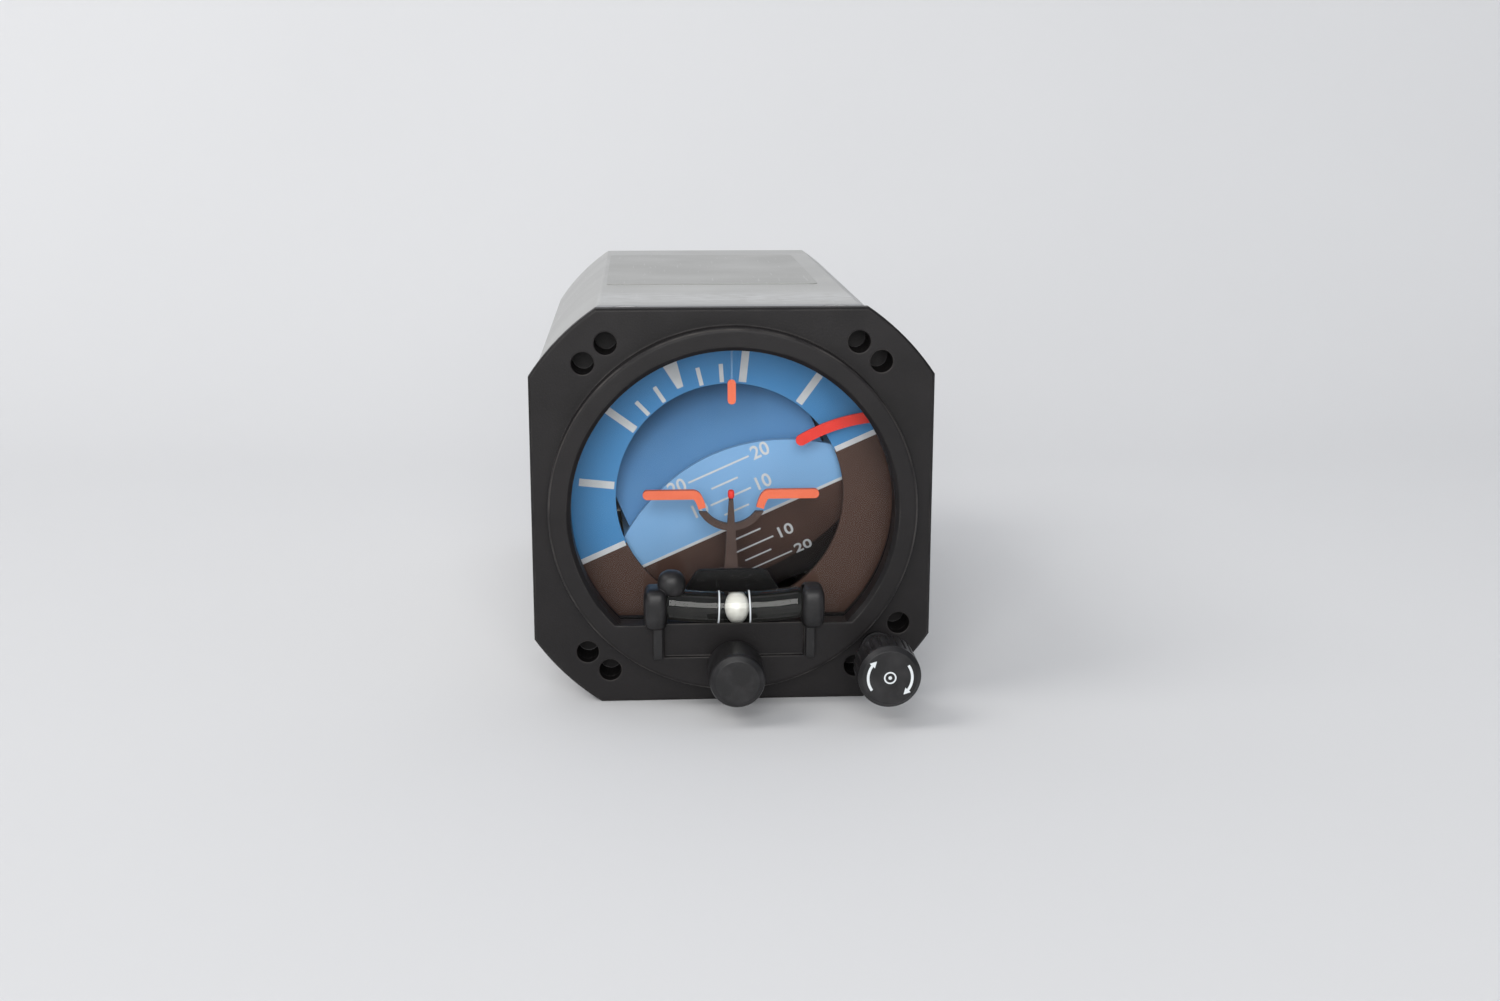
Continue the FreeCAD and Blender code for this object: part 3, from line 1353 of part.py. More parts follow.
def make_cage_knob():
    y0 = cage_knob_front_y
    y1 = y0 + cage_knob_length
    profile = [(0, y0), (cage_knob_r - 0.9, y0), (cage_knob_r, y0 + 0.9), (cage_knob_r, y1 - 0.6),
               (cage_knob_r - 0.6, y1), (cage_neck_r, y1), (cage_neck_r - 0.5, y1 + 4.0),
               (cage_rod_r + seat_gap, y1 + 4.0), (cage_rod_r + seat_gap, y0 + 3.0), (0, y0 + 3.0)]
    knob = revolve_y(profile, cage_x, cage_z)
    grooves = []
    for index in range(cage_knob_groove_count):
        dx, dz = on_circle(cage_knob_r, 360.0 * index / cage_knob_groove_count)
        grooves.append(rod_y(cage_knob_groove_r, y0 + 2.0, y1 + 1, cage_x + dx, cage_z + dz))
    return knob.cut(group(grooves))


def make_cage_rod():
    rod = rod_y(cage_rod_r, cage_knob_front_y + cage_knob_cover, cage_rod_end_y, cage_x, cage_z)
    arm_end = cage_arm_y + cage_arm_t
    collars = [rod_y(cage_collar_r, y, y + cage_collar_t, cage_x, cage_z)
               for y in (cage_collar_y, cage_arm_y - slide_gap - cage_collar_t, arm_end + slide_gap)]
    return fuse(rod, *collars)


def make_cage_arm():
    """Arm that slides with the rod; its fork embraces a chassis post and its tip holds the roller."""
    y0, y1 = cage_arm_y, cage_arm_y + cage_arm_t
    post_x, post_z = post_places()[-1]
    tip_x, tip_z = on_circle(cage_roller_circle_r, cage_angle)
    arm = bar_between(cage_x, cage_z, tip_x, tip_z, cage_arm_w, y0, y1)
    hub = rod_y(cage_arm_hub_r, y0, y1, cage_x, cage_z)
    ear = rod_y(post_r + 1.6, y0, y1, post_x, post_z)
    roller = rod_y(cage_roller_r, y0 - 2.5, y0 + 0.2, tip_x, tip_z)
    body = fuse(arm, hub, ear, roller)
    body = body.cut(rod_y(cage_rod_r + run_gap, y0 - 4, y1 + 1, cage_x, cage_z))
    return body.cut(rod_y(post_r + slide_gap, y0 - 4, y1 + 1, post_x, post_z))


def make_cage_spring():
    """Return spring between the front frame and the rod's first collar."""
    low = frame_back_y + frame_lug_depth + spring_wire_r
    high = cage_collar_y - spring_wire_r
    height = high - low
    helix = Part.makeHelix(height / spring_turns, height, spring_mean_r)
    start = Part.Wire(Part.makeCircle(spring_wire_r, Vec(spring_mean_r, 0, 0), Vec(0, 1, 0)))
    coil = Part.Wire(helix).makePipeShell([start], True, True)
    coil.rotate(Vec(0, 0, 0), Vec(1, 0, 0), -90)
    coil.translate(Vec(cage_x, low, cage_z))
    return coil


# ---- the pieces ---------------------------------------------------------------------------------
PIECES = {
    "bezel": make_bezel,
    "lens": make_lens,
    "lens_gasket": make_lens_gasket,
    "lens_retainer": make_lens_retainer,
    "front_frame": make_front_frame,
    "case_cover": make_case_cover,
    "chassis_posts": make_chassis_posts,
    "bearing_bulkhead": make_bearing_bulkhead,
    "roll_bearings": make_roll_bearings,
    "power_board": make_power_board,
    "board_parts": make_board_parts,
    "brush_block": make_brush_block,
    "rear_plate": make_rear_plate,
    "rear_screws": make_rear_screws,
    "connector_shell": make_connector_shell,
    "connector_insert": make_connector_insert,
    "connector_pins": make_connector_pins,
    "roll_gimbal": make_roll_gimbal,
    "roll_dial": make_roll_dial,
    "sky_shell": make_sky_shell,
    "roll_shaft": make_roll_shaft,
    "heart_cam": make_heart_cam,
    "slip_rings": make_slip_rings,
    "pitch_bearings": make_pitch_bearings,
    "pitch_drum": make_pitch_drum,
    "drum_sleeves": make_drum_sleeves,
    "gyro_gear": make_gyro_gear,
    "drum_gear": make_drum_gear,
    "lower_idler": make_lower_idler,
    "upper_idler": make_upper_idler,
    "idler_studs": make_idler_studs,
    "upper_housing": make_upper_housing,
    "lower_housing": make_lower_housing,
    "pitch_pivots": make_pitch_pivots,
    "rotor": make_rotor,
    "rotor_bearings": make_rotor_bearings,
    "stator": make_stator,
    "erector_wheel": make_erector_wheel,
    "airplane_wings": make_airplane_wings,
    "airplane_mount": make_airplane_mount,
    "airplane_pip": make_airplane_pip,
    "symbol_rack": make_symbol_rack,
    "symbol_pedestal": make_symbol_pedestal,
    "slider_keeper": make_slider_keeper,
    "knob_bushings": make_knob_bushings,
    "adjust_knob": make_adjust_knob,
    "adjust_pinion": make_adjust_pinion,
    "roll_index": make_roll_index,
    "warning_flag": make_warning_flag,
    "flag_coil": make_flag_coil,
    "slip_tube": make_slip_tube,
    "slip_ball": make_slip_ball,
    "tube_lines": make_tube_lines,
    "slip_caps": make_slip_caps,
    "cage_knob": make_cage_knob,
    "cage_rod": make_cage_rod,
    "cage_arm": make_cage_arm,
    "cage_spring": make_cage_spring,
    "front_screws": make_front_screws,
}


def main():
    os.makedirs("parts", exist_ok=True)
    for name, make in PIECES.items():
        shape = make()
        print(name, shape.isValid(), len(shape.Solids), round(shape.Volume, 1))
        shape.exportStep(os.path.join("parts", name + ".step"))


main()
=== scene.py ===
"""Looks of a panel-mounted attitude indicator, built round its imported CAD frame.

The frame's origin is the centre of the flange's front face. +X is the pilot's right, +Y runs
forward into the case and +Z is up. Sizes in the classes are millimetres and degrees, and MM
turns them to metres.
"""

import logging
import math
from dataclasses import dataclass
from enum import Enum
from typing import Any, Iterable

import bpy
import bmesh
import numpy as np
from mathutils import Matrix, Vector


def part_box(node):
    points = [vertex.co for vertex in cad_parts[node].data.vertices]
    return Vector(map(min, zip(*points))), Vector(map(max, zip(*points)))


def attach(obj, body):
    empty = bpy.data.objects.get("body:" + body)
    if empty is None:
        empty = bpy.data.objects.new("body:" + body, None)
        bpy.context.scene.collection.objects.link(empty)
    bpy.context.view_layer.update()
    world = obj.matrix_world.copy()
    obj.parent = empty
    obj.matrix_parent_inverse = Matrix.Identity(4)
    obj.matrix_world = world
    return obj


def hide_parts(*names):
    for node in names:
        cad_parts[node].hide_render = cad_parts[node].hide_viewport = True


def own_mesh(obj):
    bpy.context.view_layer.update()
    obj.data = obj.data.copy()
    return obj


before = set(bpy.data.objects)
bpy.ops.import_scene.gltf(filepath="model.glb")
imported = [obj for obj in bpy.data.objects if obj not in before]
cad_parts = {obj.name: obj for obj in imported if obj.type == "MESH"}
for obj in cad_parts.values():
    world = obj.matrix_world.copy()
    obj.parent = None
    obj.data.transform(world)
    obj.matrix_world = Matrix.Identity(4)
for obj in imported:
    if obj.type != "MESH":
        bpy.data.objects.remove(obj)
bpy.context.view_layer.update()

LOG = logging.getLogger("attitude_indicator")
MM = 0.001
# Bank and pitch that the gyro shows at rest, in degrees, and the Y of the pitch axis.
REST_BANK = 23.9
REST_PITCH = 12.4
PITCH_AXIS_Y = 48.5
# Cosines between an edge's rounded normal and its face's, where wear starts and is full.
EDGE_COSINES = (0.985, 0.88)
EDGE_SAMPLES = 6
# Rows of points from end to end of a rounded block.
BLOCK_STEPS = 40
Tree = bpy.types.NodeTree
Socket = bpy.types.NodeSocket


class Side(Enum):
    """Which side of the centre line something lies on."""

    LEFT = -1
    RIGHT = 1


class Slot(Enum):
    """Material slots of the record that the scene's own pieces take their finish from."""

    WHITE = "white"
    TUBE_GLASS = "tube_glass"
    CASE = "case_grey"
    STEEL = "steel"
    KNOB = "knob_black"
    ORANGE = "symbol_orange"
    RED = "flag_red"


# ---- shader helpers -----------------------------------------------------------------------------


def linear(colour: str) -> tuple[float, float, float, float]:
    """Turn an sRGB hex colour to linear RGBA.

    Args:
        colour: six hex digits after a hash sign.

    Returns:
        The linear red, green, blue and an alpha of 1.
    """
    values = [int(colour[i : i + 2], 16) / 255 for i in (1, 3, 5)]
    r, g, b = (v / 12.92 if v <= 0.04045 else ((v + 0.055) / 1.055) ** 2.4 for v in values)
    return (r, g, b, 1.0)


def add_node(tree: Tree, kind: str, settings: dict[Any, Any]) -> bpy.types.Node:
    """Add a shader node with its settings and links.

    Args:
        tree: node tree that gets the node.
        kind: node type without its ShaderNode prefix.
        settings: value of each property or input, in the order they are set. A socket is
            linked to the input, and a hex colour is turned to linear.

    Returns:
        The new node.
    """
    node = tree.nodes.new("ShaderNode" + kind)
    for key, value in settings.items():
        if isinstance(value, Socket):
            tree.links.new(value, node.inputs[key])
        elif isinstance(key, int) or key in node.inputs:
            is_colour = isinstance(value, str)
            node.inputs[key].default_value = linear(value) if is_colour else value
        else:
            setattr(node, key, value)
    return node


def grain(
    tree: Tree,
    size: float,
    low: float,
    high: float,
    detail: float = 3.0,
    stretch: tuple[float, float, float] = (1.0, 1.0, 1.0),
) -> Socket:
    """Lay noise on object coordinates and spread it to run from 0 to 1.

    Args:
        tree: node tree that gets the nodes.
        size: width of a grain in millimetres.
        low: noise value that becomes 0.
        high: noise value that becomes 1.
        detail: octaves of finer noise.
        stretch: scale of the coordinates along each axis, for drawn-out grain.

    Returns:
        Socket with the spread noise.
    """
    spot = add_node(tree, "TexCoord", {}).outputs["Object"]
    drawn = add_node(tree, "Mapping", {"Vector": spot, "Scale": stretch}).outputs[0]
    waves = {"Vector": drawn, "Scale": 1 / (size * MM), "Detail": detail}
    noise = add_node(tree, "TexNoise", waves).outputs["Fac"]
    limits = {"From Min": low, "From Max": high}
    return add_node(tree, "MapRange", {"Value": noise, **limits}).outputs[0]


def near(tree: Tree, value: Socket, middle: float, inner: float, outer: float) -> Socket:
    """Mask that is 1 where a length is close to a middle value.

    Args:
        tree: node tree that gets the nodes.
        value: socket with the length in metres.
        middle: the middle value in millimetres.
        inner: distance from it, in millimetres, up to which the mask is 1.
        outer: distance at which it is 0.

    Returns:
        Socket with the mask.
    """
    off = add_node(tree, "Math", {"operation": "SUBTRACT", 0: value, 1: middle * MM}).outputs[0]
    away = add_node(tree, "Math", {"operation": "ABSOLUTE", 0: off}).outputs[0]
    limits = {"From Min": outer * MM, "From Max": inner * MM}
    return add_node(tree, "MapRange", {"Value": away, **limits}).outputs[0]


def edge_wear(tree: Tree, radius: float) -> tuple[Socket, Socket]:
    """Round the normal over the edges and find where it turns.

    Args:
        tree: node tree that gets the nodes.
        radius: reach of an edge in millimetres.

    Returns:
        The rounded normal, and a mask that is 1 on a sharp edge.
    """
    reach = {"samples": EDGE_SAMPLES, "Radius": radius * MM}
    rounded = add_node(tree, "Bevel", reach).outputs[0]
    true = add_node(tree, "NewGeometry", {}).outputs["Normal"]
    turned = {"operation": "DOT_PRODUCT", 0: rounded, 1: true}
    cosine = add_node(tree, "VectorMath", turned).outputs["Value"]
    start, full = EDGE_COSINES
    limits = {"From Min": start, "From Max": full}
    return rounded, add_node(tree, "MapRange", {"Value": cosine, **limits}).outputs[0]


def from_axis(tree: Tree) -> Socket:
    """Find how far a point lies from the Y axis.

    Args:
        tree: node tree that gets the nodes.

    Returns:
        Socket with the distance in metres.
    """
    spot = add_node(tree, "TexCoord", {}).outputs["Object"]
    flat = add_node(tree, "Mapping", {"Vector": spot, "Scale": (1, 0, 1)}).outputs[0]
    return add_node(tree, "VectorMath", {"operation": "LENGTH", 0: flat}).outputs["Value"]


def uneven(
    tree: Tree, look: dict[str, Any], height: Socket, depth: float, normal: Socket | None = None
) -> Socket:
    """Make a surface with a finely uneven face.

    Args:
        tree: node tree that gets the nodes.
        look: the surface's colour, gloss and other settings.
        height: the relief, from 0 to 1.
        depth: depth of the relief in millimetres.
        normal: normal that the relief lies on, or the mesh's own.

    Returns:
        Socket with the shader.
    """
    relief = {"Strength": 1.0, "Distance": depth * MM, "Height": height}
    if normal is not None:
        relief["Normal"] = normal
    bump = add_node(tree, "Bump", relief).outputs[0]
    return add_node(tree, "BsdfPrincipled", {**look, "Normal": bump}).outputs[0]


# ---- finishes -----------------------------------------------------------------------------------


@dataclass(frozen=True)
class Finish:
    """A real finish. Each kind of finish lays out its own nodes."""

    name: str

    def shade(self, tree: Tree) -> Socket:
        """Add the finish's nodes to an empty tree.

        Args:
            tree: the material's node tree.

        Returns:
            Socket with the shader.
        """
        raise NotImplementedError

    def material(self) -> bpy.types.Material:
        """Get the finish's material, made the first time that it is asked for.

        Returns:
            The material.
        """
        if self.name not in bpy.data.materials:
            made = bpy.data.materials.new(self.name)
            made.use_nodes = True
            made.node_tree.nodes.clear()
            add_node(made.node_tree, "OutputMaterial", {"Surface": self.shade(made.node_tree)})
        return bpy.data.materials[self.name]


@dataclass(frozen=True)
class BakedEnamel(Finish):
    """Enamel sprayed on metal and baked: orange peel, handling marks and rubbed edges.

    Sizes of its patterns are real ones, but the peel is drawn about three times coarser than
    sprayed enamel's half millimetre, to show at all.
    """

    colour: str
    scuffed: str
    bare: str
    roughness: float
    shine: float
    peel: float
    peel_depth: float
    blotch: float
    edge: float
    rub: float
    rim_r: float = 0.0
    rim_w: float = 0.22
    scratches: float = 0.0
    glue_y: float = 0.0
    glue: str = "#c6c7c7"
    top_z: float = 41.4
    glue_half: tuple[float, float] = (4.0, 13.0)
    joint_y: float = 0.0
    joint_half: tuple[float, float] = (0.5, 1.1)
    # Colour of the line at joint_y: grime plus painted shade.
    dirt_and_shade: str = "#41403d"
    bare_half: float = 0.0
    bare_corner_r: float = 0.0
    chip: float = 6.0
    polish: float = 0.85

    def layers(self, tree: Tree) -> list[tuple[Socket, str]]:
        """Masks and colours of what lies on the paint: scratches, old glue, grime and painted
        shade.

        The glue is a patchy band across the top at glue_y. The line at joint_y is grime in the
        joint and painted shade of the gap between the cover and the frame.

        Args:
            tree: the material's node tree.

        Returns:
            A mask and a colour for each layer.
        """
        found = []
        if self.scratches:
            drawn = grain(tree, size=0.7, low=0.66, high=0.74, detail=2.0, stretch=(1, 0.06, 1))
            faint = {"operation": "MULTIPLY", 0: drawn, 1: self.scratches}
            found.append((add_node(tree, "Math", faint).outputs[0], self.bare))
        spot = add_node(tree, "TexCoord", {}).outputs["Object"]
        axes = add_node(tree, "SeparateXYZ", {0: spot}).outputs
        if self.glue_y:
            mask = near(tree, axes["Y"], self.glue_y, *self.glue_half)
            limits = {"From Min": self.top_z * MM, "From Max": (self.top_z + 0.2) * MM}
            on_top = add_node(tree, "MapRange", {"Value": axes["Z"], **limits}).outputs[0]
            patches = grain(tree, size=2.2, low=0.35, high=0.75, detail=6.0, stretch=(0.5, 1, 1))
            for factor in (on_top, patches):
                part = {"operation": "MULTIPLY", 0: mask, 1: factor}
                mask = add_node(tree, "Math", part).outputs[0]
            found.append((mask, self.glue))
        # The line at the cover's front joint: grime plus painted shade of the gap there.
        if self.joint_y:
            found.append((near(tree, axes["Y"], self.joint_y, *self.joint_half), self.dirt_and_shade))
        return found

    def bare_rim(self, tree: Tree) -> Socket:
        """Mask of a rim left bare: beyond bare_half across or up, or bare_corner_r from Y.

        Args:
            tree: the material's node tree.

        Returns:
            Socket with the mask.
        """
        spot = add_node(tree, "TexCoord", {}).outputs["Object"]
        folded = add_node(tree, "VectorMath", {"operation": "ABSOLUTE", 0: spot}).outputs[0]
        axes = add_node(tree, "SeparateXYZ", {0: folded}).outputs
        side = add_node(tree, "Math", {"operation": "MAXIMUM", 0: axes["X"], 1: axes["Z"]})
        starts = ((side.outputs[0], self.bare_half), (from_axis(tree), self.bare_corner_r))
        masks = []
        for value, start in starts:
            limits = {"From Min": start * MM, "From Max": (start + 0.1) * MM}
            masks.append(add_node(tree, "MapRange", {"Value": value, **limits}).outputs[0])
        both = {"operation": "MAXIMUM", 0: masks[0], 1: masks[1]}
        return add_node(tree, "Math", both).outputs[0]

    def shade(self, tree: Tree) -> Socket:
        """Lay the enamel: mottled paint, what lies on it, rubbed edges and orange peel.

        Args:
            tree: the material's node tree.

        Returns:
            Socket with the shader.
        """
        rounded, edge = edge_wear(tree, self.edge)
        blotches = grain(tree, self.blotch, low=0.4, high=0.75, detail=5.0)
        steps: list[tuple[str, Any]] = []
        # A grey ring at rim_r round the boss's edge: worn bare metal, and partly a painted
        # highlight.
        if self.rim_r:
            rim = near(tree, from_axis(tree), self.rim_r, self.rim_w / 3, self.rim_w)
            steps.append(("MAXIMUM", rim))
        steps.append(("MULTIPLY", grain(tree, self.chip, low=0.35, high=0.65, detail=2.0)))
        steps.append(("MULTIPLY", self.rub))
        if self.bare_half:
            steps.append(("MAXIMUM", self.bare_rim(tree)))
        for operation, value in steps:
            edge = add_node(tree, "Math", {"operation": operation, 0: edge, 1: value}).outputs[0]
        paint: Any = self.colour
        for mask, colour in ((blotches, self.scuffed), *self.layers(tree), (edge, self.bare)):
            coat = {"data_type": "RGBA", 0: mask, 6: paint, 7: colour}
            paint = add_node(tree, "Mix", coat).outputs[2]
        rough = {0: blotches, 2: self.roughness, 3: self.roughness * self.polish}
        look = {
            "IOR": 1.5,
            "Specular IOR Level": self.shine,
            "Base Color": paint,
            "Metallic": edge,
            "Roughness": add_node(tree, "Mix", rough).outputs[0],
        }
        peel = grain(tree, self.peel, low=0.3, high=0.7, detail=2.0)
        return uneven(tree, look, peel, self.peel_depth, rounded)


@dataclass(frozen=True)
class MouldedPlastic(Finish):
    """Moulded phenolic, nylon or rubber: an even colour with a fine spark-eroded grain.

    The grain of the mould is about 0.05 mm; it is drawn at the size in grit, to show.
    """

    colour: str
    rubbed: str
    roughness: float
    shine: float = 0.4
    grit: float = 0.25
    grit_depth: float = 0.006
    edge: float = 0.25
    rub: float = 0.7
    dust: float = 0.5
    dull: float = 1.25

    def shade(self, tree: Tree) -> Socket:
        """Lay the plastic: dust in the grain, edges rubbed lighter.

        Args:
            tree: the material's node tree.

        Returns:
            Socket with the shader.
        """
        rounded, edge = edge_wear(tree, self.edge)
        dust = grain(tree, size=3.5, low=0.45, high=0.75, detail=5.0)
        paint: Any = self.colour
        for mask, amount in ((dust, self.dust), (edge, self.rub)):
            part = add_node(tree, "Math", {"operation": "MULTIPLY", 0: mask, 1: amount})
            coat = {"data_type": "RGBA", 0: part.outputs[0], 6: paint, 7: self.rubbed}
            paint = add_node(tree, "Mix", coat).outputs[2]
        rough = {0: dust, 2: self.roughness, 3: self.roughness * self.dull}
        look = {
            "IOR": 1.52,
            "Specular IOR Level": self.shine,
            "Base Color": paint,
            "Roughness": add_node(tree, "Mix", rough).outputs[0],
        }
        grit = grain(tree, self.grit, low=0.35, high=0.65, detail=2.0)
        return uneven(tree, look, grit, self.grit_depth, rounded)


@dataclass(frozen=True)
class WorkedMetal(Finish):
    """Bare metal as it left the lathe, mill or mould: drawn-out tool marks and a dulled skin."""

    colour: str
    dulled: str
    roughness: float
    mark: float
    mark_depth: float
    stretch: tuple[float, float, float] = (1.0, 1.0, 1.0)
    edge: float = 0.15
    skin: float = 6.0
    dull: float = 1.4

    def shade(self, tree: Tree) -> Socket:
        """Lay the metal: tool marks in gloss and height, skin in colour.

        Args:
            tree: the material's node tree.

        Returns:
            Socket with the shader.
        """
        rounded, _ = edge_wear(tree, self.edge)
        marks = grain(tree, self.mark, low=0.35, high=0.65, stretch=self.stretch)
        skin = grain(tree, self.skin, low=0.4, high=0.7, detail=5.0)
        coat = {"data_type": "RGBA", 0: skin, 6: self.colour, 7: self.dulled}
        rough = {0: marks, 2: self.roughness, 3: self.roughness * self.dull}
        look = {
            "Metallic": 1.0,
            "Base Color": add_node(tree, "Mix", coat).outputs[2],
            "Roughness": add_node(tree, "Mix", rough).outputs[0],
        }
        return uneven(tree, look, marks, self.mark_depth, rounded)


@dataclass(frozen=True)
class MattPaint(Finish):
    """Matt paint or ink in one colour, or in two that meet on a dial's or drum's horizon.

    The piece's height above its horizon picks the colour. The piece rests rolled about the Y
    axis and pitched about an axis along X, axis_y behind the origin, so its height is read
    from coordinates turned back by both.
    """

    sky: str
    sky_dusty: str
    roughness: float = 0.6
    ground: str = ""
    ground_dusty: str = ""
    roll: float = 0.0
    pitch: float = 0.0
    axis_y: float = 0.0
    level: float = 0.0
    dust: float = 9.0
    sharp: float = 0.03
    stipple: float = 0.45
    stipple_depth: float = 0.0012

    def two_colours(self, tree: Tree, sky: Socket, dust: Socket) -> Socket:
        """Put the ground's colour below the horizon.

        Args:
            tree: the material's node tree.
            sky: colour above the horizon.
            dust: mask of the dust.

        Returns:
            Socket with the colour.
        """
        spot = add_node(tree, "TexCoord", {}).outputs["Object"]
        back = {"Location": (0, -self.axis_y * MM, 0), "Rotation": (0, math.radians(self.roll), 0)}
        level = add_node(tree, "Mapping", {"Vector": spot, **back}).outputs[0]
        tilt = {"Rotation": (-math.radians(self.pitch), 0, 0)}
        upright = add_node(tree, "Mapping", {"Vector": level, **tilt}).outputs[0]
        height = add_node(tree, "SeparateXYZ", {0: upright}).outputs["Z"]
        limits = {
            "From Min": (self.level - self.sharp) * MM,
            "From Max": (self.level + self.sharp) * MM,
        }
        is_sky = add_node(tree, "MapRange", {"Value": height, **limits}).outputs[0]
        coat = {"data_type": "RGBA", 0: dust, 6: self.ground, 7: self.ground_dusty}
        ground = add_node(tree, "Mix", coat).outputs[2]
        both = {"data_type": "RGBA", 0: is_sky, 6: ground, 7: sky}
        return add_node(tree, "Mix", both).outputs[2]

    def shade(self, tree: Tree) -> Socket:
        """Lay the paint: its colours, faint dust and a finely uneven face.

        Args:
            tree: the material's node tree.

        Returns:
            Socket with the shader.
        """
        dust = grain(tree, self.dust, low=0.4, high=0.78, detail=5.0)
        coat = {"data_type": "RGBA", 0: dust, 6: self.sky, 7: self.sky_dusty}
        colour = add_node(tree, "Mix", coat).outputs[2]
        if self.ground:
            colour = self.two_colours(tree, colour, dust)
        look = {"IOR": 1.45, "Specular IOR Level": 0.35, "Roughness": self.roughness}
        height = grain(tree, self.stipple, low=0.35, high=0.65, detail=2.0)
        return uneven(tree, {**look, "Base Color": colour}, height, self.stipple_depth)


@dataclass(frozen=True)
class WindowGlass(Finish):
    """Coated flat glass: almost nothing of it shows but a faint mirror at a slant."""

    tint: str
    mirror: float
    bend: float = 1.4
    roughness: float = 0.03

    def shade(self, tree: Tree) -> Socket:
        """Lay the glass: see-through, with a mirror that grows towards grazing angles.

        Args:
            tree: the material's node tree.

        Returns:
            Socket with the shader.
        """
        clear = add_node(tree, "BsdfTransparent", {"Color": self.tint}).outputs[0]
        look = {"Roughness": self.roughness, "Color": "#ffffff"}
        shine = add_node(tree, "BsdfGlossy", look).outputs[0]
        slant = add_node(tree, "Fresnel", {"IOR": self.bend}).outputs[0]
        share = add_node(tree, "Math", {"operation": "MULTIPLY", 0: slant, 1: self.mirror})
        both = {0: share.outputs[0], 1: clear, 2: shine}
        return add_node(tree, "MixShader", both).outputs[0]


@dataclass(frozen=True)
class LiquidTube(Finish):
    """Glass tube full of damping oil: it bends what lies inside and lets lamps reach it."""

    tint: str
    bend: float
    shadow: str = "#f4f4f0"

    def shade(self, tree: Tree) -> Socket:
        """Lay the tube: refracting glass for sight, clear for the light on the ball.

        Args:
            tree: the material's node tree.

        Returns:
            Socket with the shader.
        """
        look = {"IOR": self.bend, "Roughness": 0.0, "Color": self.tint}
        glass = add_node(tree, "BsdfGlass", look).outputs[0]
        clear = add_node(tree, "BsdfTransparent", {"Color": self.shadow}).outputs[0]
        is_shadow = add_node(tree, "LightPath", {}).outputs["Is Shadow Ray"]
        return add_node(tree, "MixShader", {0: is_shadow, 1: glass, 2: clear}).outputs[0]


@dataclass(frozen=True)
class GlazedBall(Finish):
    """Polished ceramic: a small hard highlight on milk white with a faint cloud in it."""

    colour: str
    cloudy: str
    roughness: float
    cloud: float = 1.5

    def shade(self, tree: Tree) -> Socket:
        """Lay the glaze over a faint cloud.

        Args:
            tree: the material's node tree.

        Returns:
            Socket with the shader.
        """
        cloud = grain(tree, self.cloud, low=0.4, high=0.7)
        coat = {"data_type": "RGBA", 0: cloud, 6: self.colour, 7: self.cloudy}
        colour = add_node(tree, "Mix", coat).outputs[2]
        look = {"IOR": 1.55, "Roughness": self.roughness, "Base Color": colour}
        return add_node(tree, "BsdfPrincipled", look).outputs[0]


@dataclass(frozen=True)
class CircuitBoard(Finish):
    """Solder mask over copper tracks on glass epoxy, as a brick pattern a track pitch high."""

    mask: str
    mask_thin: str
    track: str
    track_pitch: float
    track_t: float = 0.03
    track_share: float = 0.06

    def shade(self, tree: Tree) -> Socket:
        """Lay the board: tracks stand a little proud under the mask.

        Args:
            tree: the material's node tree.

        Returns:
            Socket with the shader.
        """
        spot = add_node(tree, "TexCoord", {}).outputs["Object"]
        quarter = {"Rotation": (math.radians(90), 0, 0)}
        flat = add_node(tree, "Mapping", {"Vector": spot, **quarter}).outputs[0]
        pattern = {
            "Vector": flat,
            "Scale": 1 / (self.track_pitch * MM),
            "Mortar Size": self.track_share,
            "Mortar Smooth": 0.2,
            "Color1": self.mask,
            "Color2": self.mask_thin,
            "Mortar": self.track,
        }
        tracks = add_node(tree, "TexBrick", pattern).outputs
        look = {"IOR": 1.5, "Roughness": 0.3, "Base Color": tracks["Color"]}
        return uneven(tree, look, tracks["Fac"], self.track_t)


# Flat black baked enamel on die castings: dark, faintly uneven, edges rubbed grey. Its grey
# ring round the boss's edge is partly worn metal and partly a painted highlight.
BLACK_ENAMEL = BakedEnamel(
    "flat_black_baked_enamel", "#110e0f", "#1a1718", "#77736f", 0.5, 0.3, 0.45, 0.012, 14.0, 0.5,
    0.3, rim_r=38.9,
)
# The frame behind the flange has the same enamel, but its milled rim is bare and dull.
FRAME_ENAMEL = BakedEnamel(
    "black_enamel_with_bare_rim", "#110e0f", "#1a1718", "#a9aaab", 0.5, 0.3, 0.45, 0.012, 14.0,
    0.3, 0.5, bare_half=41.9, bare_corner_r=50.5,
)
# Grey baked enamel on a drawn aluminium cover: light, satin, drawn scratches and old glue, and
# a dark line at the front joint that is grime and painted shade of the gap.
GREY_ENAMEL = BakedEnamel(
    "grey_baked_enamel", "#a9a9a7", "#b0b0ae", "#d2d2d2", 0.4, 0.5, 0.5, 0.01, 30.0, 0.3,
    0.6, scratches=0.3, glue_y=27.0, joint_y=11.2,
)
# Clear-coated aluminium plate with its print gone: a darker, smoother grey than the paint.
PLATE_LACQUER = BakedEnamel(
    "clear_coated_aluminium", "#979794", "#a1a19e", "#c4c4c4", 0.36, 0.5, 0.3, 0.004, 22.0, 0.2,
    0.5, scratches=0.35,
)
# Compression-moulded phenolic: coal black, satin, corners polished by fingers.
PHENOLIC = MouldedPlastic("black_phenolic", "#121112", "#353335", 0.42)
# Moulded nylon: a deeper, softer black than the phenolic.
NYLON = MouldedPlastic("black_nylon", "#0d0b0c", "#1a1819", 0.6, 0.2, 0.4, 0.01)
# Nitrile rubber: grey-black and dull.
RUBBER = MouldedPlastic("black_nitrile_rubber", "#161516", "#29282a", 0.8, 0.2, 0.3, 0.01)
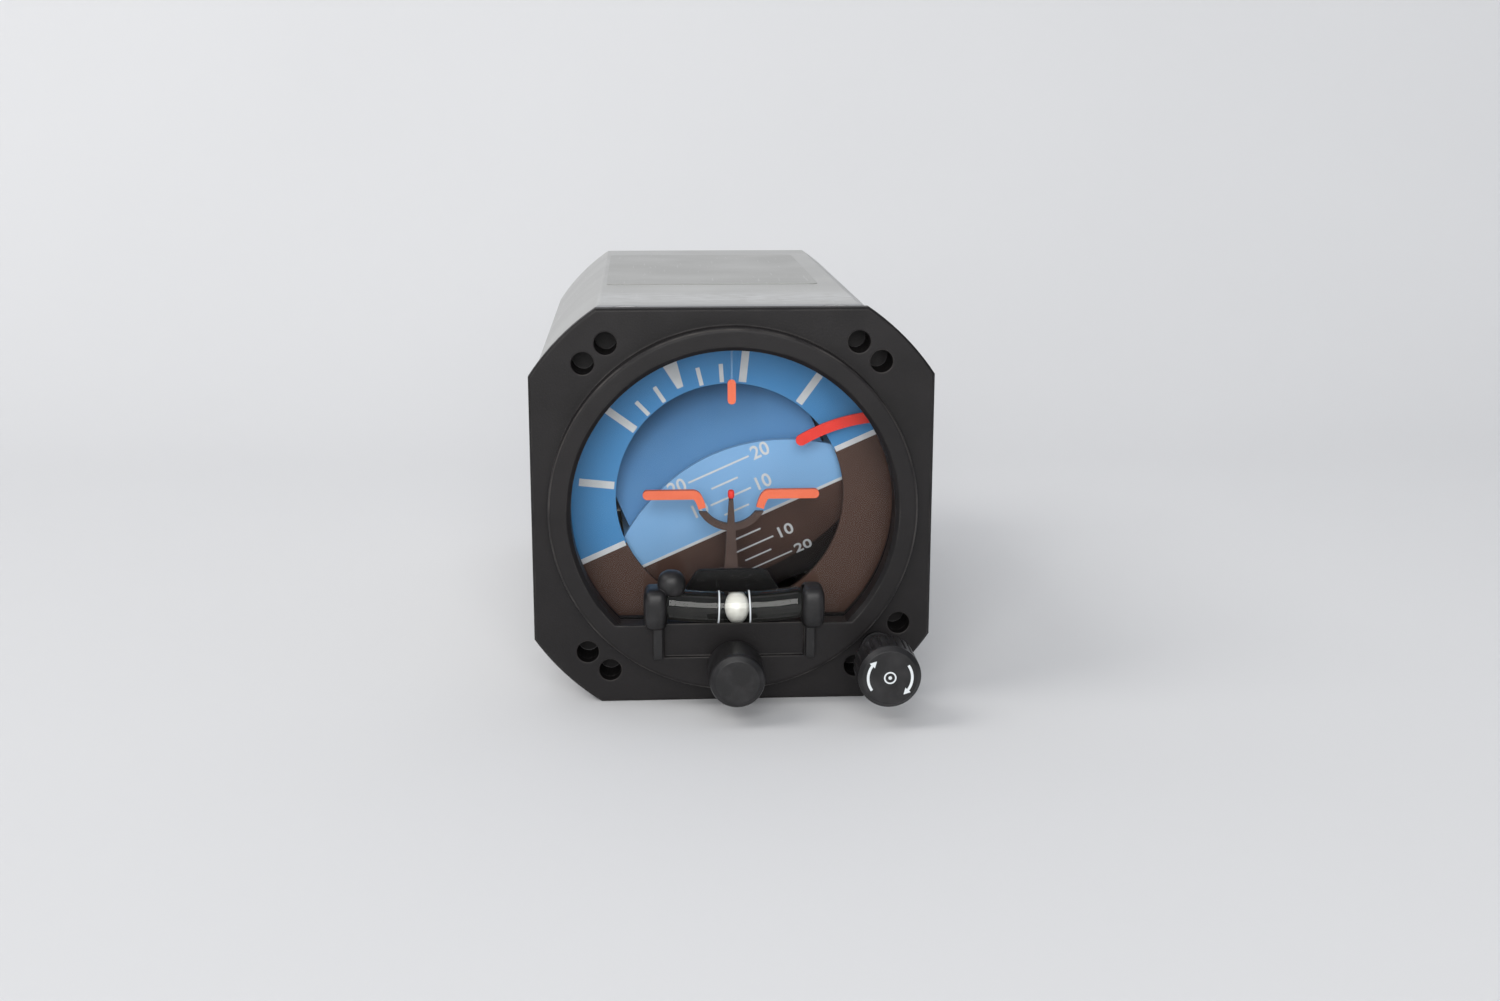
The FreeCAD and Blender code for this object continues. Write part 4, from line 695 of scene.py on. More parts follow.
# Black lacquer brushed on behind the tube and on the post. Its near black is partly painted
# shade, standing in for the deep shade at the bottom of the window.
BLACK_LACQUER_AND_SHADE = MattPaint("black_lacquer_and_painted_shade", "#070606", "#0a0909", 0.8, dust=2.5)
# Die-cast aluminium: dull grey with the mould's coarse skin.
CASTING = WorkedMetal("die_cast_aluminium", "#b4b5b6", "#9c9d9e", 0.5, 0.5, 0.03)
# Turned and milled aluminium: bright, with fine marks along the cut.
MACHINED = WorkedMetal("machined_aluminium", "#c9cacb", "#b4b5b7", 0.28, 0.25, 0.006, (1, 6, 1))
# Ground steel: a little darker and harder than aluminium.
STEEL = WorkedMetal("ground_steel", "#b9b8b6", "#9d9c9a", 0.25, 0.2, 0.004, (1, 8, 1))
# Turned brass: yellow, dulled to brown where it isn't touched.
BRASS = WorkedMetal("turned_brass", "#d0ad62", "#b3924f", 0.28, 0.2, 0.004, (1, 8, 1))
# Enamelled copper wire: red-brown with the wire's ridges.
COPPER = WorkedMetal("enamelled_copper_wire", "#b36a3c", "#8f4f2b", 0.35, 0.3, 0.03, (1, 1, 7))
# Turned tungsten bronze of the rotor: heavy and yellow-grey.
BRONZE = WorkedMetal("turned_rotor_bronze", "#a08a5f", "#8b774f", 0.3, 0.25, 0.005, (1, 1, 9))
# White printing ink: matt and faintly grey with age.
WHITE_INK = MattPaint("white_printing_ink", "#dfe3e5", "#d3d8da", dust=2.5)
# Fluorescent orange paint on the wings: strong and matt.
ORANGE = MattPaint("fluorescent_orange_paint", "#ff7d58", "#f97650", 0.55, dust=2.5)
# Signal red on the flag and the nose of the aircraft.
RED = MattPaint("signal_red_paint", "#ff4034", "#f53b30", 0.5, dust=2.5)
# Umber paint on the arc and mast, which hides them against the ground.
UMBER = MattPaint("umber_paint", "#53413a", "#4b3a33", dust=2.5)
# The index is orange up to its neck, and its neck is painted as the sky behind it.
INDEX_PAINT = MattPaint(
    "orange_index_paint", "#6c98c2", "#6c98c2", 0.6, "#ff7d58", "#f97650", level=27.1
)
# Screened dial paint: mid blue over chocolate brown, quite matt.
DIAL_PAINT = MattPaint(
    "matt_dial_paint", "#4c92cc", "#5296ce", 0.72, "#533d34", "#584238", roll=REST_BANK
)
# The drum's paint is a lighter blue than the dial's.
DRUM_PAINT = MattPaint(
    "matt_drum_paint", "#88bbea", "#8dbeec", 0.72, "#533d35", "#574138", REST_BANK, REST_PITCH,
    PITCH_AXIS_Y,
)
# The shell behind the drum: the dial's blue, and under the horizon a brown darkened to near
# black as painted shade of the window's lower part.
BACKDROP = MattPaint(
    "matt_sky_blue_paint", "#5a90c4", "#5f94c6", 0.72, "#2e211d", "#332521", REST_BANK,
    level=-5.5,
)
# Coated glass: clear, with a faint mirror at a slant.
WINDOW = WindowGlass("coated_window_glass", "#fbfbfb", 0.25)
# Oil-filled tube: it widens the ball and draws a bright line along its side.
OIL_TUBE = LiquidTube("oil_filled_glass", "#f1f2f0", 1.42)
# Glazed ceramic of the ball: milk white with one hard highlight.
CERAMIC = GlazedBall("white_ceramic", "#f3f2ef", "#e4e2dd", 0.25)
# Green solder mask: the tracks show lighter under it.
BOARD = CircuitBoard("green_circuit_board", "#1f6b3c", "#1b5a34", "#3f8a4d", 2.0)
# Seamless paper behind and under the object.
PAPER = MattPaint("white_background_paper", "#dfdfe0", "#dcdcdd", 0.9, dust=400.0)


# ---- mesh helpers -------------------------------------------------------------------------------


def link(name: str, mesh: bpy.types.Mesh) -> bpy.types.Object:
    """Put a mesh into the scene as an object at the origin.

    Args:
        name: name of the piece.
        mesh: its mesh.

    Returns:
        The object.
    """
    piece = bpy.data.objects.new(name, mesh)
    bpy.context.scene.collection.objects.link(piece)
    return piece


def new_piece(name: str, vertices: np.ndarray, faces: Iterable[Any]) -> bpy.types.Object:
    """Put vertices and faces into a new object at the origin.

    Args:
        name: name of the piece.
        vertices: (…, 3) array in millimetres.
        faces: the vertex numbers of each face.

    Returns:
        The object, with doubles merged and faces outwards.
    """
    mesh = bpy.data.meshes.new(name)
    points = np.asarray(vertices, float).reshape(-1, 3) * MM
    mesh.from_pydata(points.tolist(), [], [list(face) for face in faces])
    work = bmesh.new()
    work.from_mesh(mesh)
    bmesh.ops.remove_doubles(work, verts=work.verts, dist=1e-7)
    bmesh.ops.dissolve_degenerate(work, edges=work.edges, dist=1e-8)
    bmesh.ops.recalc_face_normals(work, faces=work.faces)
    work.to_mesh(mesh)
    work.free()
    return link(name, mesh)


def joined(name: str, parts: list[bpy.types.Object]) -> bpy.types.Object:
    """Join pieces into one mesh.

    Args:
        name: name of the joined piece.
        parts: the pieces, which go.

    Returns:
        The joined piece.
    """
    work = bmesh.new()
    for part in parts:
        work.from_mesh(part.data)
        bpy.data.objects.remove(part)
    mesh = bpy.data.meshes.new(name)
    work.to_mesh(mesh)
    work.free()
    return link(name, mesh)


def grid_faces(rows: int, columns: int, wrap: bool) -> np.ndarray:
    """Quads of a grid of rows by columns points.

    Args:
        rows: number of rows.
        columns: number of points in a row.
        wrap: whether each row closes on itself.

    Returns:
        (n, 4) array of vertex numbers.
    """
    across = np.arange(columns if wrap else columns - 1)
    i, j = np.meshgrid(np.arange(rows - 1) * columns, across, indexing="ij")
    k = (j + 1) % columns
    return np.stack([i + j, i + k, i + columns + k, i + columns + j], -1).reshape(-1, 4)


def skin(name: str, rings: np.ndarray, capped: bool = False) -> bpy.types.Object:
    """Cover a row of closed rings with faces.

    Args:
        name: name of the piece.
        rings: (rows, columns, 3) array in millimetres.
        capped: whether the first and last ring get a face of their own.

    Returns:
        The object.
    """
    rows, columns = rings.shape[:2]
    faces = grid_faces(rows, columns, True).tolist()
    if capped:
        faces += [range(columns), range((rows - 1) * columns, rows * columns)]
    return new_piece(name, rings, faces)


def blocks(name: str, corners: np.ndarray) -> bpy.types.Object:
    """Make one mesh of separate six-sided blocks.

    Args:
        name: name of the piece.
        corners: (n, 2, 4, 3) array in millimetres: for each block its lower and its upper four
            corners, in order.

    Returns:
        The object.
    """
    sides = [[0, 1, 2, 3], [7, 6, 5, 4], [0, 4, 5, 1], [1, 5, 6, 2], [2, 6, 7, 3], [3, 7, 4, 0]]
    faces = np.arange(len(corners))[:, None, None] * 8 + np.array(sides)[None]
    return new_piece(name, corners, faces.reshape(-1, 4).tolist())


def plate(name: str, outline: np.ndarray, low: float, high: float) -> bpy.types.Object:
    """Make a flat upright plate from its outline.

    Args:
        name: name of the piece.
        outline: (n, 2) array of X and Z in millimetres.
        low: Y of its front.
        high: Y of its back.

    Returns:
        The object.
    """
    x, z = outline.T
    return skin(name, np.stack([np.stack([x, x * 0 + y, z], -1) for y in (low, high)]), True)


def full_turn(steps: int) -> np.ndarray:
    """Angles of points spaced evenly round a circle, in radians, as a (1, steps) array."""
    return np.linspace(0, 2 * np.pi, steps, endpoint=False)[None]


def ribbon(path: np.ndarray, widths: np.ndarray) -> np.ndarray:
    """Outline of a flat bar along a path.

    Each point of the path is offset to both sides, square to the path there, by half the bar's
    width at that point.

    Args:
        path: (n, 2) array.
        widths: the width at each point.

    Returns:
        (2 * n, 2) array that goes up one side and back down the other.
    """
    along = np.gradient(path, axis=0)
    along /= np.linalg.norm(along, axis=1, keepdims=True)
    out = np.column_stack([-along[:, 1], along[:, 0]]) * widths[:, None] / 2
    return np.concatenate([path + out, (path - out)[::-1]])


def lathe(name: str, profile: Iterable[Any], steps: int = 64) -> bpy.types.Object:
    """Carry a profile round the Y axis.

    Args:
        name: name of the piece.
        profile: radius and Y of each point, in millimetres; it starts and ends on the axis or
            comes back to its start.
        steps: points round the axis.

    Returns:
        The object.
    """
    radius, y = np.array(list(profile), float).T[..., None]
    turn = full_turn(steps)
    x, z = radius * np.cos(turn), radius * np.sin(turn)
    return skin(name, np.stack([x, np.broadcast_to(y, x.shape), z], -1))


def rounded_block(
    name: str,
    low: tuple[float, float, float],
    high: tuple[float, float, float],
    square: float,
) -> bpy.types.Object:
    """Make a block with full rounded sides.

    The surface is a superellipsoid: the cosines and sines of its latitude and longitude are
    raised to the power square, with their signs kept. It is 1 for an ellipsoid and nears 0 for
    a box.

    Args:
        name: name of the piece.
        low: lowest corner in millimetres.
        high: highest corner in millimetres.
        square: the power.

    Returns:
        The object, shaded smooth.
    """
    up = np.linspace(-np.pi / 2, np.pi / 2, BLOCK_STEPS)[:, None]
    turn = full_turn(2 * BLOCK_STEPS)
    waves = [np.cos(up), np.sin(up), np.cos(turn), np.sin(turn)]
    cos_up, sin_up, cos_turn, sin_turn = (np.sign(w) * np.abs(w) ** square for w in waves)
    cos_up[[0, -1]] = 0
    unit = np.stack([cos_up * cos_turn, cos_up * sin_turn, sin_up + 0 * cos_turn], -1)
    middle, half = (np.array(low) + high) / 2, (np.array(high) - low) / 2
    piece = skin(name, middle + unit * half)
    shade_smooth(piece, 50)
    return piece


def shade_smooth(piece: bpy.types.Object, angle: float) -> None:
    """Shade a piece smooth except over edges sharper than an angle.

    Args:
        piece: the piece.
        angle: the angle in degrees.
    """
    work = bmesh.new()
    work.from_mesh(piece.data)
    for face in work.faces:
        face.smooth = True
    for edge in work.edges:
        edge.smooth = edge.is_manifold and edge.calc_face_angle(0.0) < math.radians(angle)
    work.to_mesh(piece.data)
    work.free()


def round_edges(piece: bpy.types.Object, width: float) -> None:
    """Bevel a piece's sharp edges.

    Args:
        piece: the piece.
        width: width of the bevel in millimetres.
    """
    bevel = piece.modifiers.new("edges", "BEVEL")
    bevel.width = width * MM
    bevel.segments = 2
    bevel.limit_method = "ANGLE"
    bevel.angle_limit = math.radians(40)


def cut(piece: bpy.types.Object, tool: bpy.types.Object) -> bpy.types.Object:
    """Take one closed piece out of another.

    Args:
        piece: the piece that is cut, which goes.
        tool: the piece taken out of it, which goes too.

    Returns:
        What is left, as a new piece of the same name.
    """
    knife = piece.modifiers.new("cut", "BOOLEAN")
    knife.operation = "DIFFERENCE"
    knife.object = tool
    bpy.context.view_layer.update()
    graph = bpy.context.evaluated_depsgraph_get()
    mesh = bpy.data.meshes.new_from_object(piece.evaluated_get(graph))
    name = piece.name
    for old in (piece, tool):
        bpy.data.objects.remove(old)
    return link(name, mesh)


def arc(radius: float, start: float, end: float, steps: int) -> np.ndarray:
    """Points on a circle about the origin.

    Args:
        radius: the circle's radius.
        start: first angle in degrees from the first axis.
        end: last angle.
        steps: number of points.

    Returns:
        (steps, 2) array.
    """
    turn = np.radians(np.linspace(start, end, steps))
    return radius * np.column_stack([np.cos(turn), np.sin(turn)])


def moved(
    piece: bpy.types.Object,
    spot: tuple[float, float, float],
    axis: str = "Y",
    angle: float = 0.0,
) -> bpy.types.Object:
    """Turn a piece's mesh about an axis through the origin, then shift it.

    Args:
        piece: the piece.
        spot: where its origin goes, in millimetres.
        axis: X, Y or Z.
        angle: the turn in degrees, by the right-hand rule.

    Returns:
        The same piece.
    """
    turn = Matrix.Rotation(math.radians(angle), 4, axis)
    piece.data.transform(Matrix.Translation(Vector(spot) * MM) @ turn)
    return piece


def dress(finish: Finish, *nodes: str) -> None:
    """Give CAD nodes a finish through their material slots.

    Args:
        finish: the finish.
        nodes: names of the nodes.
    """
    for node in nodes:
        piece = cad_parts[node]
        if not piece.material_slots:
            piece.data.materials.append(finish.material())
        for slot in piece.material_slots:
            slot.material = finish.material()
        LOG.info("dressed %s in %s", node, finish.name)


def place(
    piece: bpy.types.Object, body: str, finish: Finish, replaced: str = ""
) -> None:
    """Finish a new piece.

    Args:
        piece: the piece, already where it belongs.
        body: CAD body that it moves with.
        finish: its finish.
        replaced: CAD node that it stands for, if any.
    """
    piece.data.materials.clear()
    piece.data.materials.append(finish.material())
    if replaced:
        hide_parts(replaced)
    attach(piece, body)
    LOG.info("built %s on %s", piece.name, body)


# ---- sub-assemblies -----------------------------------------------------------------------------


@dataclass(frozen=True)
class SlottedScrew:
    """Cheese-head screw: a turned profile with a slot sawn across its crown."""

    head_r: float
    head_t: float
    shank_r: float
    length: float
    slot_w: float = 0.6
    slot_depth: float = 0.5
    edge: float = 0.25
    edge_steps: int = 5
    steps: int = 48

    def make(
        self, spot: tuple[float, float, float], turn: float, tilt: float = 0.0
    ) -> bpy.types.Object:
        """Make the screw with its seat at a spot.

        The profile runs from the shank's tip out to the head, over the head's rounded edge,
        which is a quarter circle, and back to the axis. It is carried round the Y axis, a bar is
        taken out of the crown, and the screw is tilted about the X axis.

        Args:
            spot: middle of the seat in millimetres.
            turn: angle of the slot in degrees.
            tilt: 0 for a head that faces backwards, 90 for one that faces up, -90 down.

        Returns:
            The screw.
        """
        crown = arc(self.edge, 0, 90, self.edge_steps) - self.edge
        crown += [self.head_r, self.head_t]
        shank = [(0, -self.length), (self.shank_r, -self.length), (self.shank_r, 0)]
        profile = [*shank, (self.head_r, 0), *crown, (0, self.head_t)]
        screw = lathe("screw", profile, self.steps)
        reach = np.array([self.head_r * 1.2, self.slot_w / 2])
        outline = reach * np.array([[-1, -1], [1, -1], [1, 1], [-1, 1]])
        bar = plate("bar", outline, self.head_t - self.slot_depth, self.head_t + self.slot_depth)
        piece = cut(screw, bar)
        moved(piece, (0, 0, 0), "Y", turn)
        moved(piece, spot, "X", tilt)
        shade_smooth(piece, 35)
        return piece


@dataclass
class Bezel:
    """The black front: flange with its round boss, window, lens ring, frame and their screws.

    A rim screw's row holds its X and the turn of its slot.
    """

    ring_screw: SlottedScrew = SlottedScrew(1.2, 0.6, 0.7, 2.6, 0.3, 0.25, 0.1)
    ring_screw_r: float = 37.72
    ring_screw_angles: tuple[float, ...] = (12.0, 65.0, 115.0, 168.0)
    rim_screw: SlottedScrew = SlottedScrew(2.75, 1.2, 1.2, 3.8, 0.75, 0.6)
    rim_screws: tuple[tuple[float, float], ...] = ((-22.4, 20.0), (22.4, 75.0))
    rim_half: float = 42.3

    def screws(self) -> bpy.types.Object:
        """Set the lens ring's screws on their circle and the flush ones in the frame's rim.

        Returns:
            The screws as one piece.
        """
        seat_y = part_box("lens_retainer")[1].y / MM
        rim_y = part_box("front_screws")[1].y / MM - self.rim_screw.head_r
        parts = []
        for angle in self.ring_screw_angles:
            x, z = arc(self.ring_screw_r, angle, angle, 1)[0]
            parts.append(self.ring_screw.make((x, seat_y, z), angle * 2))
        for side in Side:
            seat_z = side.value * (self.rim_half - self.rim_screw.head_t)
            for x, turn in self.rim_screws:
                spot = (x, rim_y, seat_z)
                parts.append(self.rim_screw.make(spot, turn, side.value * 90))
        return joined("slotted_front_screws", parts)

    def build(self) -> None:
        """Dress the castings and the window, and set the screws."""
        dress(BLACK_ENAMEL, "bezel", "lens_retainer")
        dress(FRAME_ENAMEL, "front_frame")
        dress(WINDOW, "lens")
        dress(RUBBER, "lens_gasket")
        place(self.screws(), "root", STEEL, "front_screws")


@dataclass
class CaseBody:
    """The grey cover with its data plate, and the rear plate with screws and connector.

    A slot's turns hold that of the first screw and how much each next one adds.
    """

    plate_x: tuple[float, float] = (-27.1, 23.3)
    plate_y: tuple[float, float] = (55.0, 133.0)
    plate_r: float = 2.0
    plate_t: float = 0.2
    plate_sunk: float = 0.05
    plate_edge: float = 0.08
    corner_steps: int = 8
    cover_top: float = 42.0
    post_circle_r: float = 45.0
    post_angles: tuple[float, ...] = (45.0, 135.0, 225.0, 306.2)
    rear_y: float = 150.0
    rear_screw: SlottedScrew = SlottedScrew(2.6, 1.4, 1.2, 9.0, 0.75, 0.7)
    flange_screw: SlottedScrew = SlottedScrew(1.7, 1.0, 1.0, 3.4, 0.5, 0.5, 0.18)
    flange_screw_at: float = 9.5
    flange_t: float = 1.6
    rear_turns: tuple[float, float] = (25.0, 50.0)
    flange_turns: tuple[float, float] = (10.0, 65.0)

    def data_plate(self) -> bpy.types.Object:
        """Make the bare plate: a rectangle with quarter-circle corners, given a thickness.

        Returns:
            The plate.
        """
        low, high = np.array([self.plate_x, self.plate_y]).T
        middle, half = (low + high) / 2, (high - low) / 2
        quarter = arc(self.plate_r, 0, 90, self.corner_steps)
        corners = []
        for sign in np.array([(1, 1), (-1, 1), (-1, -1), (1, -1)]):
            corners.append(sign * (half - self.plate_r) + quarter)
            quarter = quarter[:, ::-1] * [-1, 1]
        sheet = plate("data_plate", np.concatenate(corners), -self.plate_sunk, self.plate_t)
        round_edges(sheet, self.plate_edge)
        # Tilted a quarter turn about X, the upright plate's thickness runs from plate_sunk below
        # the cover's top to plate_t above it.
        return moved(sheet, (middle[0], middle[1], self.cover_top), "X", 90)

    def screws(self) -> bpy.types.Object:
        """Set the rear plate's screws in line with the posts, and the connector's four.

        Returns:
            The screws as one piece.
        """
        posts = [arc(self.post_circle_r, angle, angle, 1)[0] for angle in self.post_angles]
        at = self.flange_screw_at
        flange = [(-at, -at), (-at, at), (at, -at), (at, at)]
        sets = (
            (self.rear_screw, posts, self.rear_y, self.rear_turns),
            (self.flange_screw, flange, self.rear_y + self.flange_t, self.flange_turns),
        )
        parts = [
            screw.make((x, y, z), start + step * i)
            for screw, places, y, (start, step) in sets
            for i, (x, z) in enumerate(places)
        ]
        return joined("slotted_rear_screws", parts)

    def build(self) -> None:
        """Dress the cover and the rear, lay the data plate and set the screws."""
        dress(GREY_ENAMEL, "case_cover", "rear_plate")
        dress(MACHINED, "chassis_posts", "connector_shell")
        dress(NYLON, "connector_insert")
        dress(BRASS, "connector_pins")
        place(self.data_plate(), "root", PLATE_LACQUER)
        place(self.screws(), "root", STEEL, "rear_screws")


@dataclass
class RollDial:
    """The dial ring that rolls with the gimbal, and the white marks printed on it.

    A row of marks holds its inner and outer radius and its width at each.
    """

    roll: float = -REST_BANK
    face_y: float = 12.0
    mark_t: float = 0.06
    minor: tuple[float, ...] = (25.4, 29.4, 0.9, 0.9)
    major: tuple[float, ...] = (25.5, 33.2, 1.65, 1.65)
    horizon: tuple[float, ...] = (25.3, 38.2, 1.2, 1.2)
    wedge: tuple[float, ...] = (26.5, 33.0, 1.4, 3.45)

    def marks(self) -> bpy.types.Object:
        """Print every mark.

        A mark is a block from its inner to its outer radius, turned by its bank angle and then
        by the gimbal's roll.

        Returns:
            The marks as one piece.
        """
        rows = [(angle, *self.minor) for angle in (-20, -10, 10, 20)]
        rows += [(angle, *self.major) for angle in (-60, -30, 30, 60)]
        rows += [(angle, *self.horizon) for angle in (-90, 90)]
        rows.append((0, *self.wedge))
        angle, r0, r1, w0, w1 = np.array(rows, float).T
        across = np.stack([-w0, w0, w1, -w1], -1) / 2
        out = np.stack([r0, r0, r1, r1], -1)
        turn = np.radians(angle + self.roll)[:, None]
        x = across * np.cos(turn) + out * np.sin(turn)
        z = out * np.cos(turn) - across * np.sin(turn)
        faces = [np.full_like(x, self.face_y + y) for y in (-self.mark_t, self.mark_t / 3)]
        return blocks("dial_marks", np.stack([np.stack([x, y, z], -1) for y in faces], 1))

    def build(self) -> None:
        """Dress the ring and print its marks."""
        dress(DIAL_PAINT, "roll_dial")
        place(self.marks(), "roll_gimbal", WHITE_INK)


@dataclass
class PitchDrum:
    """The drum that shows pitch: its horizon, its ladder of lines and the numbers on it.

    The ladder holds the pitch of each line and half its length. The horizon adds its width. A
    number's capital_share is how high its figures are in the font's size.
    """

    roll: float = -REST_BANK
    pitch: float = REST_PITCH
    axis_y: float = PITCH_AXIS_Y
    radius: float = 34.0
    mark_t: float = 0.07
    line_w: float = 0.4
    horizon: tuple[float, float, float] = (0.0, 25.3, 0.65)
    degree: float = 1.12
    number_h: float = 3.0
    number_gap: float = 2.74
    number_t: float = 0.1
    capital_share: float = 0.72
    bolder: float = 0.07
    spacing: float = 1.02
    ladder: tuple[tuple[float, float], ...] = ((20, 7.3), (15, 3.2), (10, 4.9), (5, 3.0))

    def on_drum(self, points: np.ndarray) -> np.ndarray:
        """Wrap flat points round the drum at its rest attitude.

        The place up the face becomes an angle about the pitch axis, the height is added to the
        drum's radius, and the result is pitched and rolled as the drum rests.

        Args:
            points: (…, 3) array of the place across the drum, the place up its face and the
                height above it, in millimetres.

        Returns:
            (…, 3) array in millimetres.
        """
        turn = points[..., 1] / self.radius - math.radians(self.pitch)
        reach = self.radius + points[..., 2]
        y, z = self.axis_y - reach * np.cos(turn), reach * np.sin(turn)
        matrix = np.array(Matrix.Rotation(math.radians(self.roll), 3, "Y"))
        return np.stack([points[..., 0], y, z], -1) @ matrix.T

    def lines(self) -> bpy.types.Object:
        """Print the horizon and the ladder's lines: thin blocks, wrapped on the drum.

        Returns:
            The lines as one piece.
        """
        rows = [self.horizon]
        rows += [(sign * a, half, self.line_w) for sign in (1, -1) for a, half in self.ladder]
        angle, half, width = np.array(rows, float).T
        middle = np.radians(angle * self.degree) * self.radius
        across = np.stack([-half, half, half, -half], -1)
        up = middle[:, None] + np.stack([-width, -width, width, width], -1) / 2
        levels = [np.full_like(up, level) for level in (-self.mark_t / 3, self.mark_t)]
        corners = [self.on_drum(np.stack([across, up, level], -1)) for level in levels]
        return blocks("drum_lines", np.stack(corners, 1))

    def number(self, text: str, x: float, angle: float) -> bpy.types.Object:
        """Print a number on the drum.

        Args:
            text: the number.
            x: place of its middle across the drum.
            angle: pitch that it names.

        Returns:
            The number as a mesh, each of its points wrapped round the drum.
        """
        curve = bpy.data.curves.new("number", "FONT")
        curve.body = text
        curve.size = self.number_h / self.capital_share
        curve.align_x = "CENTER"
        curve.align_y = "CENTER"
        curve.extrude = self.number_t / 2
        curve.offset = self.bolder
        curve.space_character = self.spacing
        holder = bpy.data.objects.new("number", curve)
        bpy.context.scene.collection.objects.link(holder)
        bpy.context.view_layer.update()
        graph = bpy.context.evaluated_depsgraph_get()
        mesh = bpy.data.meshes.new_from_object(holder.evaluated_get(graph))
        bpy.data.objects.remove(holder)
        points = np.empty(len(mesh.vertices) * 3)
        mesh.vertices.foreach_get("co", points)
        up = math.radians(angle * self.degree) * self.radius
        points = points.reshape(-1, 3) + [x, up, self.number_t / 2 - self.mark_t / 3]
        mesh.vertices.foreach_set("co", (self.on_drum(points) * MM).ravel())
        return link("number", mesh)

    def numbers(self) -> bpy.types.Object:
        """Print the numbers: both sides of the lines above the horizon, the right side below.

        Returns:
            The numbers as one piece.
        """
        parts = []
        for angle, half in self.ladder:
            if angle % 10 == 0:
                reach = half + self.number_gap
                for side, sign in ((Side.LEFT, 1), (Side.RIGHT, 1), (Side.RIGHT, -1)):
                    parts.append(self.number(f"{angle:.0f}", side.value * reach, sign * angle))
        return joined("drum_numbers", parts)

    def build(self) -> None:
        """Dress the drum and print on it."""
        dress(DRUM_PAINT, "pitch_drum")
        place(self.lines(), "drum", WHITE_INK)
        place(self.numbers(), "drum", WHITE_INK)


@dataclass
class Background:
    """What stands still behind and over the drum: sky shell, roll index and warning flag."""

    def build(self) -> None:
        """Dress the shell, the index, and the flag with the coil that pulls it."""
        dress(BACKDROP, "sky_shell")
        dress(INDEX_PAINT, "roll_index")
        dress(RED, "warning_flag")
        dress(COPPER, "flag_coil")


